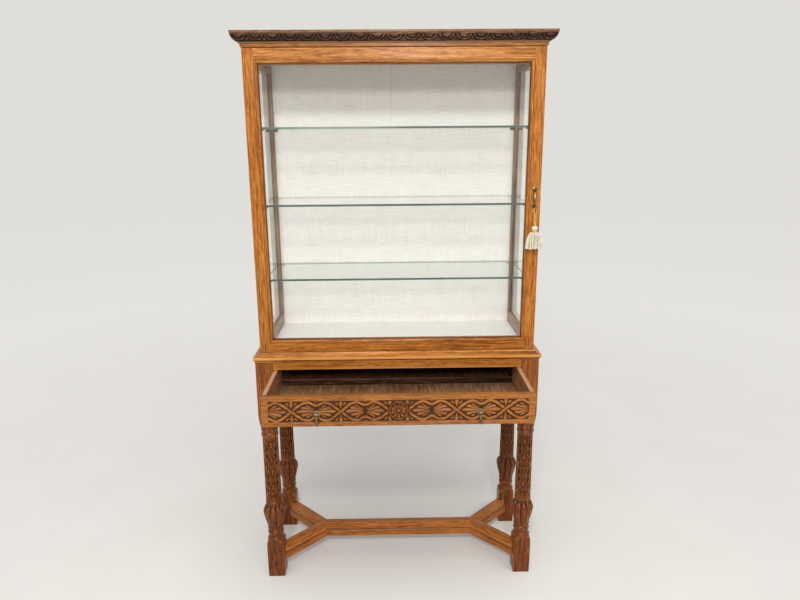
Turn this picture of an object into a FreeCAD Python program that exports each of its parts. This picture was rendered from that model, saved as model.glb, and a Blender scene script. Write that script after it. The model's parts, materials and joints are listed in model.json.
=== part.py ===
"""Glazed oak display cabinet on a turned-leg stand with a carved drawer."""
import FreeCAD, Part
import math
import os

from FreeCAD import Vector

os.makedirs("parts", exist_ok=True)

# All sizes are in millimetres. X runs along the front, the front faces -Y, and the floor is Z = 0.

# Turned legs, from the floor up
leg_side = 56.0
foot_block_height = 118.0
foot_shoulder_height = 16.0
bell_height = 16.0
bell_bead_radius = 26.5
bell_hollow = 1.5
neck_radius = 20.5
collar_height = 23.0
collar_radius = 25.8
stem_height = 11.0
stem_radius = 21.5
bulb_height = 84.0
bulb_radius = 37.5
bulb_crown = 55.0
bulb_foot_radius = 24.4
bulb_swell = 0.9
cap_ring_height = 18.0
cap_ring_radius = 27.0
column_height = 225.0
column_base_radius = 26.5
column_top_radius = 25.0
bead_ring_height = 19.0
bead_ring_count = 2
bead_ring_radius = 27.8
ring_groove_radius = 24.5
top_shoulder_height = 69.0
block_below_frieze = 8.5

# Frieze of the stand
stand_overhang = 16.3
stand_depth = 355.0
top_rail_height = 25.5
bottom_rail_height = 30.0
rail_thickness = 22.0
rail_setback = 1.0
rail_bead_depth = 1.0
rail_bead_pitch = 4.0
side_rail_thickness = 20.0
side_rail_setback = 2.0
tenon_length = 24.0
tenon_thickness = 9.0
tenon_shoulder = 5.0
mortise_clearance = 0.2

# Stretcher
stretcher_width = 36.0
stretcher_height = 50.0
stretcher_base_height = 22.0
stretcher_top_width = 24.0
stretcher_quirk = 2.0
stretcher_round = 1.5
stretcher_floor_gap = 44.0

# Drawer
drawer_out = 217.0
drawer_height = 90.0
drawer_length = 296.0
drawer_side_gap = 1.5
drawer_top_gap = 1.0
drawer_bottom_gap = 1.0
drawer_front_thickness = 20.0
drawer_side_thickness = 12.0
drawer_side_drop = 1.0
drawer_lap = 12.0
drawer_back_height = 30.0
drawer_bottom_thickness = 6.0
drawer_bottom_rise = 5.5
drawer_groove = 5.0
runner_gap = 0.3
runner_thickness = 12.0
runner_width = 17.0
guide_height = 34.0
stop_length = 10.0
stop_height = 14.0
dust_board_thickness = 6.0

# Waist moulding between stand and case
stand_projection = 17.0
waist_height = 27.5
waist_nose = 21.5
waist_nose_drop = 12.0
waist_nose_height = 7.5
waist_fillet = 3.0
waist_fillet_rise = 1.0
waist_cove_rise = 3.0
waist_cove_end = 3.0
waist_cavetto = 1.0
waist_inner = 48.0
waist_panel_thickness = 6.0
waist_panel_rise = 9.0
waist_panel_groove = 8.0

# Glazed case
case_width = 859.4
case_height = 898.5
post_width = 30.0
front_post_depth = 40.0
rear_post_depth = 53.0
side_rail_height = 46.0
header_height = 45.0
header_thickness = 22.0
case_tenon_length = 18.0
case_tenon_thickness = 8.0
glass_thickness = 3.0
side_glass_inset = 19.0
rebate = 8.0
rebate_clearance = 0.4
bead_setback = 1.0
back_panel_thickness = 8.0
back_lining_setback = 15.0
back_panel_groove = 6.0
lining_thickness = 1.0
case_floor_thickness = 8.0

# Glass shelves on pegs
shelf_thickness = 6.0
bottom_shelf_level = 1023.0
middle_shelf_level = 1252.0
top_shelf_level = 1478.0
shelf_front_setback = 7.5
shelf_gap = 1.0
peg_radius = 2.5
peg_flat = 0.5
peg_depth = 10.0
peg_reach = 12.0
peg_clearance = 0.05
front_peg_setback = 20.0

# Cornice
case_top_thickness = 9.5
case_top_overhang = 3.0
cornice_height = 31.0
cornice_lip_height = 6.5
cornice_lip = 26.0
cornice_fillet = 6.5
cornice_fillet_height = 3.5
cornice_quirk = 1.0
cornice_lip_quirk = 1.5
cornice_inner = 40.0

# Door
door_thickness = 22.0
door_gap = 0.5
door_bottom_gap = 1.5
door_top_gap = 2.0
stile_flat = 32.4
top_rail_flat = 32.0
base_rail_flat = 28.0
sticking = 10.0
sticking_quirk = 1.5
sticking_depth = 9.5
door_rebate_depth = 13.0
door_rebate_land = 2.0
door_tenon_length = 20.0
door_tenon_thickness = 7.0
door_tenon_setback = 4.0

# Butt hinges
hinge_height = 62.0
hinge_inset = 120.0
hinge_leaf_width = 20.0
hinge_leaf_thickness = 2.0
hinge_pin_radius = 1.5
hinge_knuckle_radius = 3.2
hinge_knuckle_count = 5
hinge_offset = 0.3
hinge_play = 0.3
hinge_relief = 0.4

# Pear-drop pulls
door_pull_height = 1301.0
door_pull_plate_radius = 7.0
door_drop_length = 42.0
drawer_pull_spread = 465.0
drawer_pull_height = 40.0
drawer_pull_plate_radius = 10.5
drawer_drop_length = 36.0
pull_plate_thickness = 2.5
pull_reach = 9.0
pull_stem_radius = 2.5
pull_eye_radius = 3.0
pull_eye_thickness = 3.2
pull_cheek_thickness = 1.6
pull_cheek_gap = 0.3
pull_cheek_radius = 2.0
pull_collar_drop = 4.2
pull_collar_radius = 4.4
pull_collar_height = 1.5
pull_neck_height = 2.0
pull_pin_radius = 1.0
pear_radius = 6.2
pear_swell = 2.0
finial_radius = 2.4
finial_neck_radius = 1.2
running_clearance = 0.05

# Lock, key, cord and tassel
key_height = 1250.0
key_setback = 18.5
key_shaft_radius = 2.5
key_hole_clearance = 1.0
key_end_depth = 18.0
key_bit_reach = 9.0
key_bit_width = 5.0
key_bit_thickness = 2.0
key_bit_depth = 11.3
key_collar_radius = 4.0
key_bow_radius = 6.5
key_bow_bar_radius = 1.5
key_bow_reach = 22.5
escutcheon_radius = 7.0
escutcheon_thickness = 1.5
lock_half_width = 13.0
lock_below_key = 16.0
lock_above_key = 44.0
lock_depth = 15.0
lock_wall = 1.5
bolt_rise = 3.5
bolt_plate_height = 10.5
bolt_pin_height = 10.0
bolt_pin_width = 5.0
bolt_thickness = 4.0
bolt_depth = 11.8
bolt_clearance = 0.3
staple_gap = 1.0
staple_wall = 2.0
staple_height = 8.0
staple_plate_margin = 6.0
staple_plate_half_width = 8.0
staple_plate_thickness = 2.0
cord_radius = 1.4
tassel_head_radius = 8.5
tassel_head_height = 11.0
tassel_band_radius = 8.0
tassel_band_height = 7.0
tassel_skirt_height = 52.0
tassel_skirt_half_width = 27.0
tassel_skirt_half_depth = 18.0

# The doubled cord, from the tassel up over the key's bow and down again, as (across, up) from the bar
cord_route = (
    (-1.6, -49.5), (-2.3, -37.0), (-2.2, -23.0), (-1.9, -12.0), (-4.3, -3.5), (-4.2, 3.4),
    (4.2, 3.4), (4.3, -3.5), (1.9, -12.0), (2.2, -23.0), (2.3, -37.0), (1.6, -49.5),
)

# Levels
column_bottom = (foot_block_height + foot_shoulder_height + bell_height + collar_height + stem_height
                 + bulb_height + cap_ring_height)
top_shoulder = column_bottom + column_height + bead_ring_height * bead_ring_count
top_block = top_shoulder + top_shoulder_height
frieze_bottom = top_block + block_below_frieze
drawer_bottom_z = frieze_bottom + bottom_rail_height + drawer_bottom_gap
drawer_top_z = drawer_bottom_z + drawer_height
frieze_top_rail_z = drawer_top_z + drawer_top_gap
stand_top = frieze_top_rail_z + top_rail_height
case_bottom = stand_top + waist_height
case_top = case_bottom + case_height
cornice_bottom = case_top + case_top_thickness
cornice_top = cornice_bottom + cornice_height
door_bottom = case_bottom + door_bottom_gap
door_top = case_top - door_top_gap
case_floor = case_bottom + case_floor_thickness
shelf_levels = {"bottom_shelf": bottom_shelf_level, "middle_shelf": middle_shelf_level,
                "top_shelf": top_shelf_level}

# Places along X and Y: the box round the cabinet, with the drawer out, is centred on the origin
case_half = case_width / 2
stand_half = case_half + stand_overhang
bulb_overhang = bulb_radius - leg_side / 2
stand_front = (drawer_out + pull_reach + pear_radius - stand_depth - bulb_overhang) / 2
stand_back = stand_front + stand_depth
leg_inner = stand_half - leg_side
front_leg_back = stand_front + leg_side
rear_leg_front = stand_back - leg_side
door_front = stand_front + stand_projection
door_back = door_front + door_thickness
case_front = door_back + door_gap
case_inner = case_half - post_width
front_post_back = case_front + front_post_depth
rear_post_front = stand_back - rear_post_depth
lining_front = rear_post_front + back_lining_setback
panel_front = lining_front + lining_thickness
panel_back = panel_front + back_panel_thickness
side_glass_outer = case_half - side_glass_inset
side_glass_inner = side_glass_outer - glass_thickness
drawer_face = stand_front - drawer_out
drawer_half = leg_inner - drawer_side_gap
hinge_x = -case_half - hinge_offset
hinge_y = door_back + door_gap / 2
key_x = case_half - key_setback
key_hole_radius = key_shaft_radius + key_hole_clearance
drawer_pull_z = drawer_bottom_z + drawer_pull_height
UP = Vector(0, 0, 1)


def save(node, *solids):
    """Write one sub-part; several separate solids make one group."""
    shape = solids[0] if len(solids) == 1 else Part.makeCompound(list(solids))
    for solid in shape.Solids:
        if not solid.isValid() or solid.Volume <= 0:
            raise ValueError(node + " has a faulty solid")
    shape.exportStep("parts/" + node + ".step")


def box(x0, x1, y0, y1, z0, z1):
    """Block between three pairs of planes, each pair in either order."""
    low = Vector(min(x0, x1), min(y0, y1), min(z0, z1))
    return Part.makeBox(abs(x1 - x0), abs(y1 - y0), abs(z1 - z0), low)


def grown(limits, by):
    """Block a little larger than the six given planes, as a mortise is round its tenon."""
    x0, x1, y0, y1, z0, z1 = limits
    return box(min(x0, x1) - by, max(x0, x1) + by, min(y0, y1) - by, max(y0, y1) + by, z0 - by, z1 + by)


def rod(axis, x, y, z, radius, length):
    """Cylinder that starts at a point and runs along an axis."""
    return Part.makeCylinder(radius, length, Vector(x, y, z), axis)


def one(solid, *others):
    """Join touching solids into one clean solid."""
    joined = solid.multiFuse(list(others)).removeSplitter()
    return joined.Solids[0]


def less(solid, *others):
    """Cut solids away from one solid."""
    left = solid.cut(list(others))
    return left.Solids[0]


def both(solid, other):
    """Keep what two solids share."""
    return solid.common(other).Solids[0]


def placed(plane, at, point):
    """A plane's own point as a point in space."""
    u, v = point
    return {"XY": Vector(u, v, at), "XZ": Vector(u, at, v), "YZ": Vector(at, u, v)}[plane]


def outline(plane, at, steps):
    """Face inside a closed outline; a step is a corner, or (through, end) for an arc."""
    edges = []
    here = steps[0]
    for step in list(steps[1:]) + [steps[0]]:
        if isinstance(step[0], tuple):
            through, end = step
            arc = Part.Arc(placed(plane, at, here), placed(plane, at, through), placed(plane, at, end))
            edges.append(arc.toShape())
        else:
            end = step
            edges.append(Part.LineSegment(placed(plane, at, here), placed(plane, at, end)).toShape())
        here = end
    return Part.Face(Part.Wire(edges))


def prism(plane, low, high, steps):
    """Outline carried from one level to another, square to its plane."""
    along = {"XY": Vector(0, 0, 1), "XZ": Vector(0, 1, 0), "YZ": Vector(1, 0, 0)}[plane]
    return outline(plane, low, steps).extrude(along * (high - low))


def moved(steps, place):
    """The same outline with each point put through a function."""
    return [tuple(place(*p) for p in s) if isinstance(s[0], tuple) else place(*s) for s in steps]


def turned(steps):
    """Solid turned about the Z axis from a (radius, height) outline."""
    return outline("XZ", 0, steps).revolve(Vector(0, 0, 0), UP, 360).Solids[0]


def leg_profile():
    """Half outline of a turned leg; the square blocks stay inside its widest parts."""
    corner = leg_side
    flat = leg_side / 2
    z = foot_block_height
    steps = [(0, 0), (corner, 0), (corner, z - (corner - flat)), (flat + foot_shoulder_height, z)]
    z += foot_shoulder_height
    steps.append((flat, z))
    steps.append((bell_bead_radius, z + bell_height * 0.4))
    z += bell_height
    hollow = (bell_bead_radius + neck_radius) / 2 - bell_hollow
    steps.append(((hollow, z - bell_height * 0.35), (neck_radius, z)))
    steps.append(((collar_radius, z + collar_height / 2), (stem_radius, z + collar_height)))
    z += collar_height
    steps.append((bulb_foot_radius, z + stem_height))
    z += stem_height
    waist = (bulb_foot_radius + bulb_radius) / 2 + bulb_swell
    steps.append(((waist, z + bulb_crown * 0.47), (bulb_radius, z + bulb_crown)))
    rise = bulb_height - bulb_crown
    fall = bulb_radius - ring_groove_radius
    shoulder = (fall * fall + rise * rise) / (2 * fall)
    turn = math.atan2(rise, shoulder - fall) / 2
    through = (bulb_radius - shoulder * (1 - math.cos(turn)), z + bulb_crown + shoulder * math.sin(turn))
    steps.append((through, (ring_groove_radius, z + bulb_height)))
    z += bulb_height
    steps.append(((cap_ring_radius, z + cap_ring_height / 2), (ring_groove_radius, z + cap_ring_height)))
    z += cap_ring_height
    steps.append((column_base_radius, z))
    z += column_height
    steps.append((column_top_radius, z))
    steps.append((ring_groove_radius, z))
    for _ in range(bead_ring_count):
        middle = z + bead_ring_height / 2
        z += bead_ring_height
        steps.append(((bead_ring_radius, middle), (ring_groove_radius, z)))
    steps.append((flat, z))
    swell = flat + (math.hypot(flat, flat) - flat) * 0.72
    reach = math.hypot(flat, flat)
    steps.append(((swell, z + top_shoulder_height * 0.45), (reach, z + top_shoulder_height)))
    steps.append((corner, z + top_shoulder_height))
    steps.append((corner, stand_top))
    steps.append((0, stand_top))
    return steps


def rail_tenon(x0, x1, y0, y1, z0, z1):
    """Planes of one tenon on a frieze rail."""
    return (x0, x1, y0, y1, z0 + tenon_shoulder, z1 - tenon_shoulder)


def frieze_tenons():
    """Tenons of the five frieze rails, by rail and end."""
    tenons = {}
    middle = (rail_thickness - tenon_thickness) / 2
    front_y = stand_front + rail_setback + middle
    back_y = stand_back - rail_setback - middle - tenon_thickness
    side_x = stand_half - side_rail_setback - side_rail_thickness / 2
    levels = {
        "frieze_top_rail": (front_y, frieze_top_rail_z, stand_top),
        "frieze_bottom_rail": (front_y, frieze_bottom, frieze_bottom + bottom_rail_height),
        "back_rail": (back_y, frieze_bottom, stand_top),
    }
    for rail, (y, z0, z1) in levels.items():
        tenons[rail] = [
            rail_tenon(s * leg_inner, s * (leg_inner + tenon_length), y, y + tenon_thickness, z0, z1)
            for s in (-1, 1)
        ]
    for rail, s in (("left_side_rail", -1), ("right_side_rail", 1)):
        x0 = s * (side_x - tenon_thickness / 2)
        x1 = s * (side_x + tenon_thickness / 2)
        tenons[rail] = [
            rail_tenon(x0, x1, front_leg_back, front_leg_back - tenon_length, frieze_bottom, stand_top),
            rail_tenon(x0, x1, rear_leg_front, rear_leg_front + tenon_length, frieze_bottom, stand_top),
        ]
    return tenons


def make_legs(tenons):
    """Four turned legs with mortises for the rails; only the bulb stands out past the square blocks."""
    flat = leg_side / 2
    square = box(-flat, flat, -flat, flat, 0, stand_top)
    bulb_foot = column_bottom - cap_ring_height - bulb_height
    bulb = box(-leg_side, leg_side, -leg_side, leg_side, bulb_foot, column_bottom)
    pattern = both(turned(leg_profile()), one(square, bulb))
    mortises = [grown(t, mortise_clearance) for ends in tenons.values() for t in ends]
    for end, y in (("front", stand_front + leg_side / 2), ("rear", stand_back - leg_side / 2)):
        for side, s in (("left", -1), ("right", 1)):
            leg = pattern.copy()
            leg.translate(Vector(s * (stand_half - leg_side / 2), y, 0))
            save(end + "_" + side + "_leg", less(leg, *mortises))


def make_frieze(tenons):
    """Rails between the leg blocks, with their tenons."""
    front = stand_front + rail_setback
    back = stand_back - rail_setback
    top_rail = box(-leg_inner, leg_inner, front, front + rail_thickness, frieze_top_rail_z, stand_top)
    for n in (1, 2):
        z = frieze_top_rail_z + n * rail_bead_pitch
        groove = [(front, z - rail_bead_depth), (front + rail_bead_depth, z), (front, z + rail_bead_depth)]
        top_rail = less(top_rail, prism("YZ", -leg_inner, leg_inner, groove))
    low_rail_top = frieze_bottom + bottom_rail_height
    rails = {
        "frieze_top_rail": top_rail,
        "frieze_bottom_rail":
            box(-leg_inner, leg_inner, front, front + rail_thickness, frieze_bottom, low_rail_top),
        "back_rail": box(-leg_inner, leg_inner, back - rail_thickness, back, frieze_bottom, stand_top),
    }
    outer = stand_half - side_rail_setback
    for side, s in (("left", -1), ("right", 1)):
        rails[side + "_side_rail"] = box(s * (outer - side_rail_thickness), s * outer, front_leg_back,
                                         rear_leg_front, frieze_bottom, stand_top)
    for rail, solid in rails.items():
        save(rail, one(solid, *[box(*t) for t in tenons[rail]]))


def make_runners():
    """Runner with guide and stop under each drawer side, a kicker above it, and a dust board below."""
    front = stand_front + rail_setback + rail_thickness
    back = stand_back - rail_setback - rail_thickness
    rail_face = stand_half - side_rail_setback - side_rail_thickness
    top = drawer_bottom_z - runner_gap
    inner = leg_inner - runner_width
    stop = stand_front + drawer_length + runner_gap
    low = top - runner_thickness
    solids = [box(-leg_inner, leg_inner, front, back, low - dust_board_thickness, low)]
    for s in (-1, 1):
        bearer = box(s * inner, s * leg_inner, front, back, low, top)
        guide = box(s * leg_inner, s * rail_face, front_leg_back, rear_leg_front, low, top + guide_height)
        block = box(s * inner, s * leg_inner, stop, stop + stop_length, top, top + stop_height)
        solids.append(one(bearer, guide, block))
        solids.append(box(s * inner, s * leg_inner, front, back, drawer_top_z + drawer_top_gap, stand_top))
    save("drawer_runners", *solids)


def stretcher_section():
    """Moulded stretcher section as (across, up), flat below and rounded above."""
    half = stretcher_width / 2
    top = stretcher_top_width / 2
    low = stretcher_floor_gap
    base = low + stretcher_base_height
    high = low + stretcher_height
    inner = half - stretcher_quirk
    bulge = (inner - stretcher_round, base + (high - base) * 0.62)
    return [
        (-half, low), (half, low), (half, base), (inner, base + stretcher_quirk), (bulge, (top, high)),
        (-top, high), ((-bulge[0], bulge[1]), (-inner, base + stretcher_quirk)), (-half, base),
    ]


def make_stretcher():
    """Centre rail with a pair of mitred arms at each end, running to the leg blocks."""
    mid_y = (stand_front + stand_back) / 2
    leg_x = stand_half - leg_side / 2
    run = mid_y - stand_front - leg_side / 2
    joint_x = leg_x - run
    arm_length = math.hypot(run, run)
    span = arm_length * 2
    half = leg_side / 2
    section = stretcher_section()
    arm_angle = 45.0
    mitre = 90.0 - arm_angle / 2
    outside = 180.0 - mitre

    def ray(x, degrees):
        a = math.radians(degrees)
        return (x + span * math.cos(a), mid_y + span * math.sin(a))

    low, high = stretcher_floor_gap, stretcher_floor_gap + stretcher_height
    tip = stretcher_width / math.tan(math.radians(mitre))
    rail = prism("YZ", -joint_x - tip, joint_x + tip, moved(section, lambda u, z: (mid_y + u, z)))
    wide = [(-joint_x, mid_y), ray(-joint_x, -mitre), ray(joint_x, -outside), (joint_x, mid_y),
            ray(joint_x, outside), ray(-joint_x, mitre)]
    save("centre_stretcher", both(rail, prism("XY", low, high, wide)))
    arms = []
    for s in (-1, 1):
        for end in (-1, 1):
            arm = prism("YZ", -stretcher_width, arm_length, section)
            heading = math.degrees(math.atan2(end, s))
            arm.rotate(Vector(0, 0, 0), UP, heading)
            arm.translate(Vector(s * joint_x, mid_y, 0))
            start = 0 if s > 0 else 180
            turn = end * s
            wedge = [(s * joint_x, mid_y)]
            wedge += [ray(s * joint_x, start + turn * outside * n / 3) for n in range(4)]
            y = mid_y + end * run
            block = box(s * leg_x - half, s * leg_x + half, y - half, y + half, 0, foot_block_height)
            arms.append(less(both(arm, prism("XY", low, high, wedge)), block))
    save("stretcher_arms", *arms)


def mitred_frame(steps, reach, inner):
    """Front length and two returns of a moulding given as (outward, up) from the case's faces."""
    out_x = case_half + reach
    out_y = door_front - reach
    width = reach + inner
    levels = [s[-1][1] if isinstance(s[0], tuple) else s[1] for s in steps]
    low, high = min(levels), max(levels)
    front = prism("YZ", -out_x, out_x, moved(steps, lambda u, z: (door_front - u, z)))
    plan = [(-out_x, out_y), (out_x, out_y), (out_x - width, out_y + width), (width - out_x, out_y + width)]
    pieces = [both(front, prism("XY", low, high, plan))]
    for s in (-1, 1):
        side = prism("XZ", out_y, stand_back, moved(steps, lambda u, z, s=s: (s * (case_half + u), z)))
        plan = [(s * out_x, out_y), (s * out_x, stand_back), (s * (out_x - width), stand_back),
                (s * (out_x - width), out_y + width)]
        pieces.append(both(side, prism("XY", low, high, plan)))
    return pieces


def make_waist():
    """Moulded frame that joins stand and case, with a dust panel in its groove."""
    z = stand_top
    nose = z + waist_height - waist_nose_drop
    under = nose - waist_nose_height
    steps = [
        (-waist_inner, z), (stand_projection, z),
        ((stand_projection + waist_cavetto, (z + 2 * under) / 3), (waist_nose, under)), (waist_nose, nose),
        (waist_nose - waist_fillet, nose + waist_fillet_rise),
        ((waist_nose * 0.5, nose + waist_cove_rise), (waist_cove_end, z + waist_height)),
        (-waist_inner, z + waist_height),
    ]
    front, left, right = mitred_frame(steps, waist_nose, waist_inner)
    inner_x = case_half - waist_inner
    inner_y = door_front + waist_inner
    rail_y = stand_back - waist_inner
    back = box(-inner_x, inner_x, rail_y, stand_back, z, z + waist_height)
    panel = (-inner_x - waist_panel_groove, inner_x + waist_panel_groove, inner_y - waist_panel_groove,
             rail_y + waist_panel_groove, z + waist_panel_rise, z + waist_panel_rise + waist_panel_thickness)
    save("waist_dust_panel", box(*panel))
    save("waist_moulding_front", less(front, box(*panel)))
    save("waist_moulding_returns", less(left, box(*panel)), less(right, box(*panel)))
    save("waist_back_rail", less(back, box(*panel)))


def make_cornice():
    """Top board of the case and the ovolo cornice that stands on it."""
    edge = case_half + case_top_overhang
    save("case_top", box(-edge, edge, door_front - case_top_overhang, stand_back, case_top, cornice_bottom))
    z = cornice_bottom
    lip = cornice_top - cornice_lip_height
    spring = z + cornice_fillet_height
    crown = cornice_lip - cornice_lip_quirk
    foot = cornice_fillet + cornice_quirk
    sag = (crown - foot) * 0.2
    bulge = ((crown + foot) / 2 + sag, (lip + spring) / 2 - sag)
    steps = [
        (-cornice_inner, z), (cornice_fillet, z), (cornice_fillet, spring), (foot, spring),
        (bulge, (crown, lip)), (cornice_lip, lip), (cornice_lip, cornice_top), (-cornice_inner, cornice_top),
    ]
    front, left, right = mitred_frame(steps, cornice_lip, cornice_inner)
    save("cornice_front", front)
    save("cornice_returns", left, right)


def shelf_pegs():
    """Places of the shelf pegs as (side, y, shelf level)."""
    rear_y = rear_post_front + (rebate + back_lining_setback) / 2
    return [(s, y, level) for level in shelf_levels.values() for s in (-1, 1)
            for y in (case_front + front_peg_setback, rear_y)]


def peg_axis(level):
    """Height of a peg's axis under a shelf."""
    return level - peg_radius + peg_flat


def hinge_levels():
    """Lower end of each door hinge."""
    return (door_bottom + hinge_inset, door_top - hinge_inset - hinge_height)


def hinge_reliefs():
    """Round clearances cut for the knuckles in the door's edge and in the post."""
    return [rod(UP, hinge_x, hinge_y, z - hinge_play, hinge_knuckle_radius + hinge_relief,
                hinge_height + 2 * hinge_play) for z in hinge_levels()]


def hinge_leaf_plate(z, y0, y1):
    """Planes of the flat part of one hinge leaf."""
    start = hinge_x + hinge_knuckle_radius + hinge_relief
    return (start, start + hinge_leaf_width, y0, y1, z, z + hinge_height)


def case_leaf_planes(z):
    """Planes of a leaf let into the post."""
    return hinge_leaf_plate(z, case_front, case_front + hinge_leaf_thickness)


def door_leaf_planes(z):
    """Planes of a leaf let into the back of the door."""
    return hinge_leaf_plate(z, door_back - hinge_leaf_thickness, door_back)


def leaf_seat(planes):
    """Block cut away for one leaf, from the hinge's axis to the leaf's far edge."""
    return box(hinge_x, *planes[1:])


def hinge_leaf(z, planes, parity):
    """Leaf with every other knuckle of its hinge."""
    x0, x1, y0, y1, z0, z1 = planes
    pitch = hinge_height / hinge_knuckle_count
    parts = []
    for n in range(parity, hinge_knuckle_count, 2):
        low = z + n * pitch + (hinge_play / 2 if n else 0)
        high = z + (n + 1) * pitch - (hinge_play / 2 if n < hinge_knuckle_count - 1 else 0)
        parts.append(rod(UP, hinge_x, hinge_y, low, hinge_knuckle_radius, high - low))
        parts.append(box(hinge_x, x0, y0, y1, low, high))
    leaf = one(box(*planes), *parts)
    return less(leaf, rod(UP, hinge_x, hinge_y, z, hinge_pin_radius + running_clearance, hinge_height))


def make_hinges():
    """Two butt hinges: leaves with their pins on the case, leaves on the door."""
    case_solids = []
    door_solids = []
    for z in hinge_levels():
        case_solids.append(hinge_leaf(z, case_leaf_planes(z), 0))
        case_solids.append(rod(UP, hinge_x, hinge_y, z, hinge_pin_radius, hinge_height))
        door_solids.append(hinge_leaf(z, door_leaf_planes(z), 1))
    save("case_hinge_leaves", *case_solids)
    save("door_hinge_leaves", *door_solids)


def staple_plate():
    """Planes of the staple's plate, let into the right front post."""
    low, high = staple_levels()
    half = staple_plate_half_width
    return (key_x - half, key_x + half, case_front, case_front + staple_plate_thickness,
            low - staple_plate_margin, high + staple_plate_margin)


def staple_levels():
    """Lower and upper face of the staple's eye."""
    low = key_height + bolt_rise + bolt_plate_height + bolt_pin_height + staple_gap
    return low, low + staple_height


def side_rail_tenons(s, z0, z1):
    """Planes of the tenons at the ends of one side rail, clear of the rail's rebate."""
    x = s * (case_half - post_width / 2)
    half = case_tenon_thickness / 2
    low = min(z0, z1) + (tenon_shoulder if z0 < z1 else rebate + tenon_shoulder)
    high = max(z0, z1) - (rebate + tenon_shoulder if z0 < z1 else tenon_shoulder)
    return [(x - half, x + half, front_post_back, front_post_back - case_tenon_length, low, high),
            (x - half, x + half, rear_post_front, rear_post_front + case_tenon_length, low, high)]


def side_rail_levels():
    """Outer edge and sight edge of the lower and the upper side rails."""
    return ((case_bottom, case_bottom + side_rail_height), (case_top, case_top - side_rail_height))


def cross_rails():
    """Planes of the rails between the posts: front header, rear header and rear foot."""
    header = case_top - header_height
    return [(-case_inner, case_inner, case_front, case_front + header_thickness, header, case_top),
            (-case_inner, case_inner, panel_back, stand_back, header, case_top),
            (-case_inner, case_inner, panel_back, stand_back, case_bottom, case_bottom + side_rail_height)]


def cross_rail_tenons(planes):
    """Planes of the tenons at the ends of one cross rail."""
    y = (planes[2] + planes[3]) / 2
    half = case_tenon_thickness / 2
    return [(s * case_inner, s * (case_inner + case_tenon_length), y - half, y + half,
             planes[4] + tenon_shoulder, planes[5] - tenon_shoulder) for s in (-1, 1)]


def make_posts():
    """Four corner posts, rebated for the side glass, grooved for the back and drilled for pegs."""
    low = case_bottom + side_rail_height - rebate
    high = case_top - side_rail_height + rebate
    spans = {"front": (case_front, front_post_back), "rear": (rear_post_front, stand_back)}
    cuts = [rod(Vector(s, 0, 0), s * case_inner, y, peg_axis(level), peg_radius + peg_clearance, peg_depth)
            for s, y, level in shelf_pegs()]
    cuts += hinge_reliefs()
    cuts += [leaf_seat(case_leaf_planes(z)) for z in hinge_levels()]
    cuts.append(box(*staple_plate()))
    tenons = [t for rail in cross_rails() for t in cross_rail_tenons(rail)]
    tenons += [t for s in (-1, 1) for z0, z1 in side_rail_levels() for t in side_rail_tenons(s, z0, z1)]
    cuts += [grown(t, mortise_clearance) for t in tenons]
    for s in (-1, 1):
        for face, into in ((front_post_back, -rebate), (rear_post_front, rebate)):
            cuts.append(box(s * case_inner, s * side_glass_outer, face, face + into, low, high))
        cuts.append(box(s * case_inner, s * (case_inner + back_panel_groove), panel_front, panel_back,
                        case_bottom, case_top))
    for end, (y0, y1) in spans.items():
        for side, s in (("left", -1), ("right", 1)):
            post = box(s * case_inner, s * case_half, y0, y1, case_bottom, case_top)
            save(end + "_" + side + "_post", less(post, *cuts))


def make_sides():
    """Side rails, side glass and the beads that hold it from inside."""
    rails = []
    beads = []
    y0, y1 = front_post_back, rear_post_front
    levels = side_rail_levels()
    low = levels[0][1] - rebate
    high = levels[1][1] + rebate
    gap = rebate_clearance
    for side, s in (("left", -1), ("right", 1)):
        inner, outer = s * case_inner, s * side_glass_outer
        bead_inner, bead_outer = s * (case_inner + bead_setback), s * side_glass_inner
        for edge, sight in levels:
            rail = box(inner, s * case_half, y0, y1, edge, sight)
            into = -rebate if sight > edge else rebate
            rail = less(rail, box(inner, outer, y0, y1, sight, sight + into))
            rails.append(one(rail, *[box(*t) for t in side_rail_tenons(s, edge, sight)]))
            beads.append(box(bead_inner, bead_outer, y0, y1, sight, sight + into))
        for face, into in ((y0, -rebate), (y1, rebate)):
            beads.append(box(bead_inner, bead_outer, face, face + into, low, high))
        glass = box(s * side_glass_inner, outer, y0 - rebate + gap, y1 + rebate - gap, low + gap, high - gap)
        save(side + "_side_glass", glass)
    save("case_side_rails", *rails)
    save("side_glazing_beads", *beads)


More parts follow.
